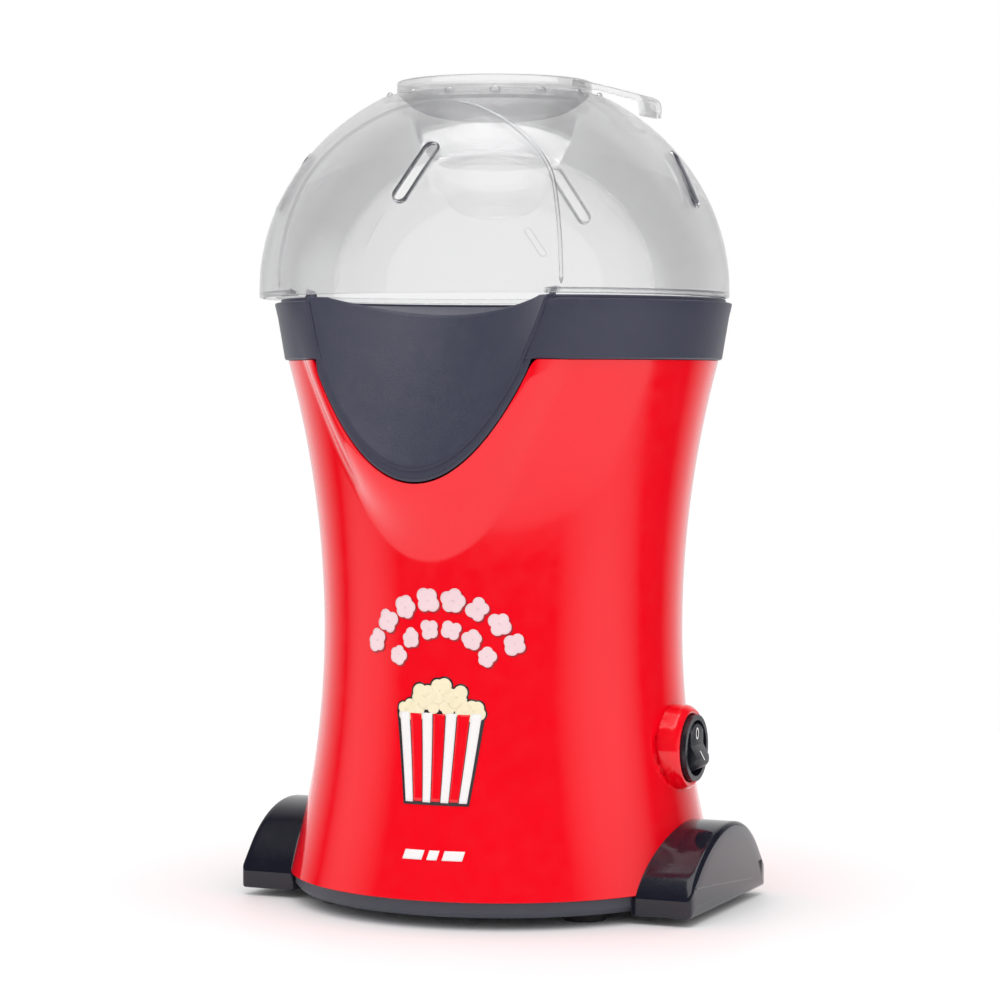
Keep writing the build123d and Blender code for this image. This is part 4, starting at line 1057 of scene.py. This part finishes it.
# ---------------------------------------------------------------- feet
def make_foot(side):
    """Foot cover: an outline of flat floor, short upright and round top, carried outwards along
    X. It starts inside the red shell's wall, ends on a gentle bulge, and its last rows draw in to
    round the edge and close the end."""
    half_turn = math.asin(FOOT_HALF / FOOT_ARC_R)
    sweep = np.linspace(-half_turn, half_turn, 61)
    arc = np.stack([FOOT_ARC_R * np.sin(sweep), FOOT_ARC_Z + FOOT_ARC_R * np.cos(sweep)], -1)
    corners = np.concatenate([[(-FOOT_HALF, FOOT_LOW)], arc, [(FOOT_HALF, FOOT_LOW)]])
    radii = np.full(len(corners), 0.0)
    radii[[0, -1]] = 0.5
    radii[[1, -2]] = 1.0
    outline = eased(corners, radii, 4)
    roll = np.linspace(0, np.pi / 2, 6)
    inset = np.concatenate([np.zeros(12), FOOT_EDGE * (1 - np.cos(roll)), [FOOT_EDGE + 2.5]])
    out = np.concatenate([np.linspace(0, 1, 12), np.full(7, 1.0)])
    back = np.concatenate([np.full(12, FOOT_EDGE), FOOT_EDGE * (1 - np.sin(roll)), [0.0]])
    above = outline[:, 1] - FOOT_CENTRE_Z
    shrink = outline[None] - inset[:, None, None] * np.stack(
        [np.sign(outline[:, 0]) * np.minimum(1, np.abs(outline[:, 0]) / 6),
         np.sign(above) * np.minimum(1, np.abs(above) / 4)], -1)
    y, z = shrink[..., 0], shrink[..., 1]
    reach = body_radius(np.maximum(z, BODY_BOTTOM)) - 1.0
    start = np.sqrt(np.maximum(reach ** 2 - y ** 2, 1.0))
    end = FOOT_END - y ** 2 / (2 * FOOT_CURVE_R) - back[:, None]
    x = start + (end - start) * out[:, None]
    grid = np.stack([side * x, y, z], -1)
    hand = "right" if side > 0 else "left"
    piece = surface("foot_cover_" + hand, grid, GLOSS_BLACK, "housing", "gloss_black", wrap_cols=True,
                    flip=side > 0, sharp=50)
    reworked(piece.data, fill_ends, turn_out)
    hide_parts("foot_" + hand)


# ---------------------------------------------------------------- switch
def rocker_point(out, up, across):
    """Point on the rocker, from its own outward, upward and crosswise lengths at rest."""
    out, up, across = np.broadcast_arrays(out, up, across)
    x = ROCKER_PIVOT + out * math.cos(ROCKER_REST) - up * math.sin(ROCKER_REST)
    z = SWITCH_Z + out * math.sin(ROCKER_REST) + up * math.cos(ROCKER_REST)
    return np.stack([x, across, z], -1)


def face_out(up):
    """How far out the rocker's V-shaped face stands, by distance from its middle."""
    return 4.5 + np.abs(up) * math.tan(ROCKER_REST)


def make_switch():
    """Bezel ring about the switch's axis, the rocker with rounded edges, and its two marks."""
    face = SWITCH_FACE
    outline = eased([(9.75, face - 6), (11.6, face - 6), (11.6, face - 0.5), (10.6, face + 0.1),
                     (10.0, face - 0.35), (9.75, face - 1.6)], [0.1, 0.1, 0.5, 0.6, 0.4, 0.4], 5)
    side_lathe("switch_bezel", outline[::-1], SWITCH_BLACK, "housing", "switch_black")
    softened("switch_rocker", "rocker_cap", 0.45, 25.0, SWITCH_BLACK, "rocker")
    turn, small = circle(40)[None], circle(8)[:, None]
    up = 3.9 + (1.75 + 0.26 * np.cos(small)) * np.cos(turn)
    across = (1.15 + 0.26 * np.cos(small)) * np.sin(turn)
    ring = rocker_point(face_out(up) + 0.06 * np.sin(small) + 0.10, up, across)
    surface("rocker_mark_off", ring, INK_WHITE, "rocker", "switch_black", wrap_rows=True, wrap_cols=True)
    up = -4.0 + 1.7 * np.array([[-1, -0.9, 0.9, 1]]).T
    across = 0.28 * np.array([[-1, -0.8, 0.8, 1]])
    bar = rocker_point(face_out(up) + 0.14, up, across)
    mark = surface("rocker_mark_on", bar, INK_WHITE, "rocker", "switch_black")
    walled(mark, 0.15)


# ---------------------------------------------------------------- printed picture
def on_body(azimuth, z, lift):
    """Points on the red body, raised by a print's thickness."""
    return polar(azimuth, shell_radius(azimuth, z) + lift, z)


def printed(name, grids, ink):
    """Flat printed shapes on the body, each a grid of points, given the ink's thickness."""
    walled(several(name, grids, ink, "housing", "red_shell", sharp=60), 0.08)


def puff_grids(centres, sizes, lift, seed, grown=1.0):
    """Popped corn puffs: the outline is the furthest reach of four or five circles set round the
    middle, drawn on the unrolled body and wrapped on it."""
    random = np.random.default_rng(seed)
    turn = np.linspace(0, 2 * np.pi, 73)
    share = np.linspace(0.02, 1, 5)[:, None]
    grids = []
    for (across, z), size in zip(centres, sizes):
        lobes = int(random.integers(4, 6))
        spot = 2 * np.pi * np.arange(lobes) / lobes + random.uniform(-0.25, 0.25, lobes)
        spot = (spot + random.uniform(0, 6.28))[:, None]
        off = size * random.uniform(0.42, 0.52, lobes)[:, None]
        ball = size * random.uniform(0.46, 0.60, lobes)[:, None]
        inside = np.maximum(ball ** 2 - (off * np.sin(turn - spot)) ** 2, 0)
        edge = (off * np.cos(turn - spot) + np.sqrt(inside)).max(axis=0) + (grown - 1.0) * size
        u = across + share * edge * np.cos(turn)
        v = z + share * edge * np.sin(turn)
        grids.append(on_body(u / WAIST_R, v, lift))
    return np.stack(grids)


def make_print():
    """Generic picture: a striped tub of popped corn under an arch of puffs, and a plain mark."""
    middle_u = math.radians(4.0) * WAIST_R
    centres, sizes = [], []
    for reach, size, count in ((15.5, 3.7, 6), (24.6, 4.5, 8)):
        for a in np.radians(np.linspace(-64, 64, count)):
            centres.append((middle_u + reach * math.sin(a) * 1.16, 84 + reach * math.cos(a) * 1.08))
            sizes.append(size * (1 - 0.10 * abs(math.sin(a))))
    printed("print_arch_shadow", puff_grids([(x + 0.5, z - 0.5) for x, z in centres], sizes, 0.05, 5),
            INK_CRIMSON)
    printed("print_arch_puffs", puff_grids(centres, sizes, 0.13, 5), INK_PINK)
    heap = [(x, 74 + 4.5 * math.cos(x / 13 * 1.5) + rise) for x, rise in
            ((-12, -2), (-6, 0), (0, 1), (6, 0), (12, -2), (-9, -4), (-3, -3), (3, -3), (9, -4))]
    heap = [(middle_u + x, z) for x, z in heap]
    heap_sizes = [4.0, 4.3, 4.6, 4.3, 4.0, 3.6, 3.8, 3.8, 3.6]
    printed("print_heap_outline", puff_grids(heap, heap_sizes, 0.05, 9, 1.14), INK_BLACK)
    printed("print_heap_puffs", puff_grids(heap, heap_sizes, 0.13, 9), INK_CREAM)
    up = np.linspace(0, 1, 24)[:, None]

    def tub_strip(left, right, low, high, lift):
        wide = 10.5 + 4.5 * (low + (high - low) * up) / 30
        u = middle_u + wide * (left + (right - left) * np.linspace(0, 1, 5)[None])
        return on_body(u / WAIST_R, 42 + low + (high - low) * up + 0 * u, lift)

    edges = np.linspace(-1, 1, 8)
    printed("print_tub_outline", np.stack([tub_strip(-1.06, 1.06, -0.9, 30.8, 0.20)]), INK_BLACK)
    printed("print_tub_stripes", np.stack([tub_strip(edges[k] + 0.02, edges[k + 1] - 0.02, 0, 30, 0.27)
                                           for k in range(0, 7, 2)]), INK_WHITE)
    printed("print_tub_panels", np.stack([tub_strip(edges[k], edges[k + 1], 0.3, 29.7, 0.25)
                                          for k in range(1, 7, 2)]), RED)
    bars = [(-9.5, -3.2), (-1.6, 1.6), (3.2, 9.5)]
    across = np.linspace(0, 1, 12)[None]
    lean = np.linspace(0, 1, 5)[:, None]
    height = 23 + 3.2 * lean + 0 * across
    strips = [on_body((middle_u + a + (b - a) * across + 0.8 * lean) / WAIST_R, height, 0.12)
              for a, b in bars]
    printed("print_plain_mark", np.stack(strips), INK_WHITE)


for make in (make_red_shell, make_switch_boss, make_ring, make_chute, make_lid, make_vent_rims,
             make_lid_flange, make_lid_hood, make_neck_nubs, make_cup, make_cup_handle):
    make()
for side in (1, -1):
    make_foot(side)
make_switch()
make_print()
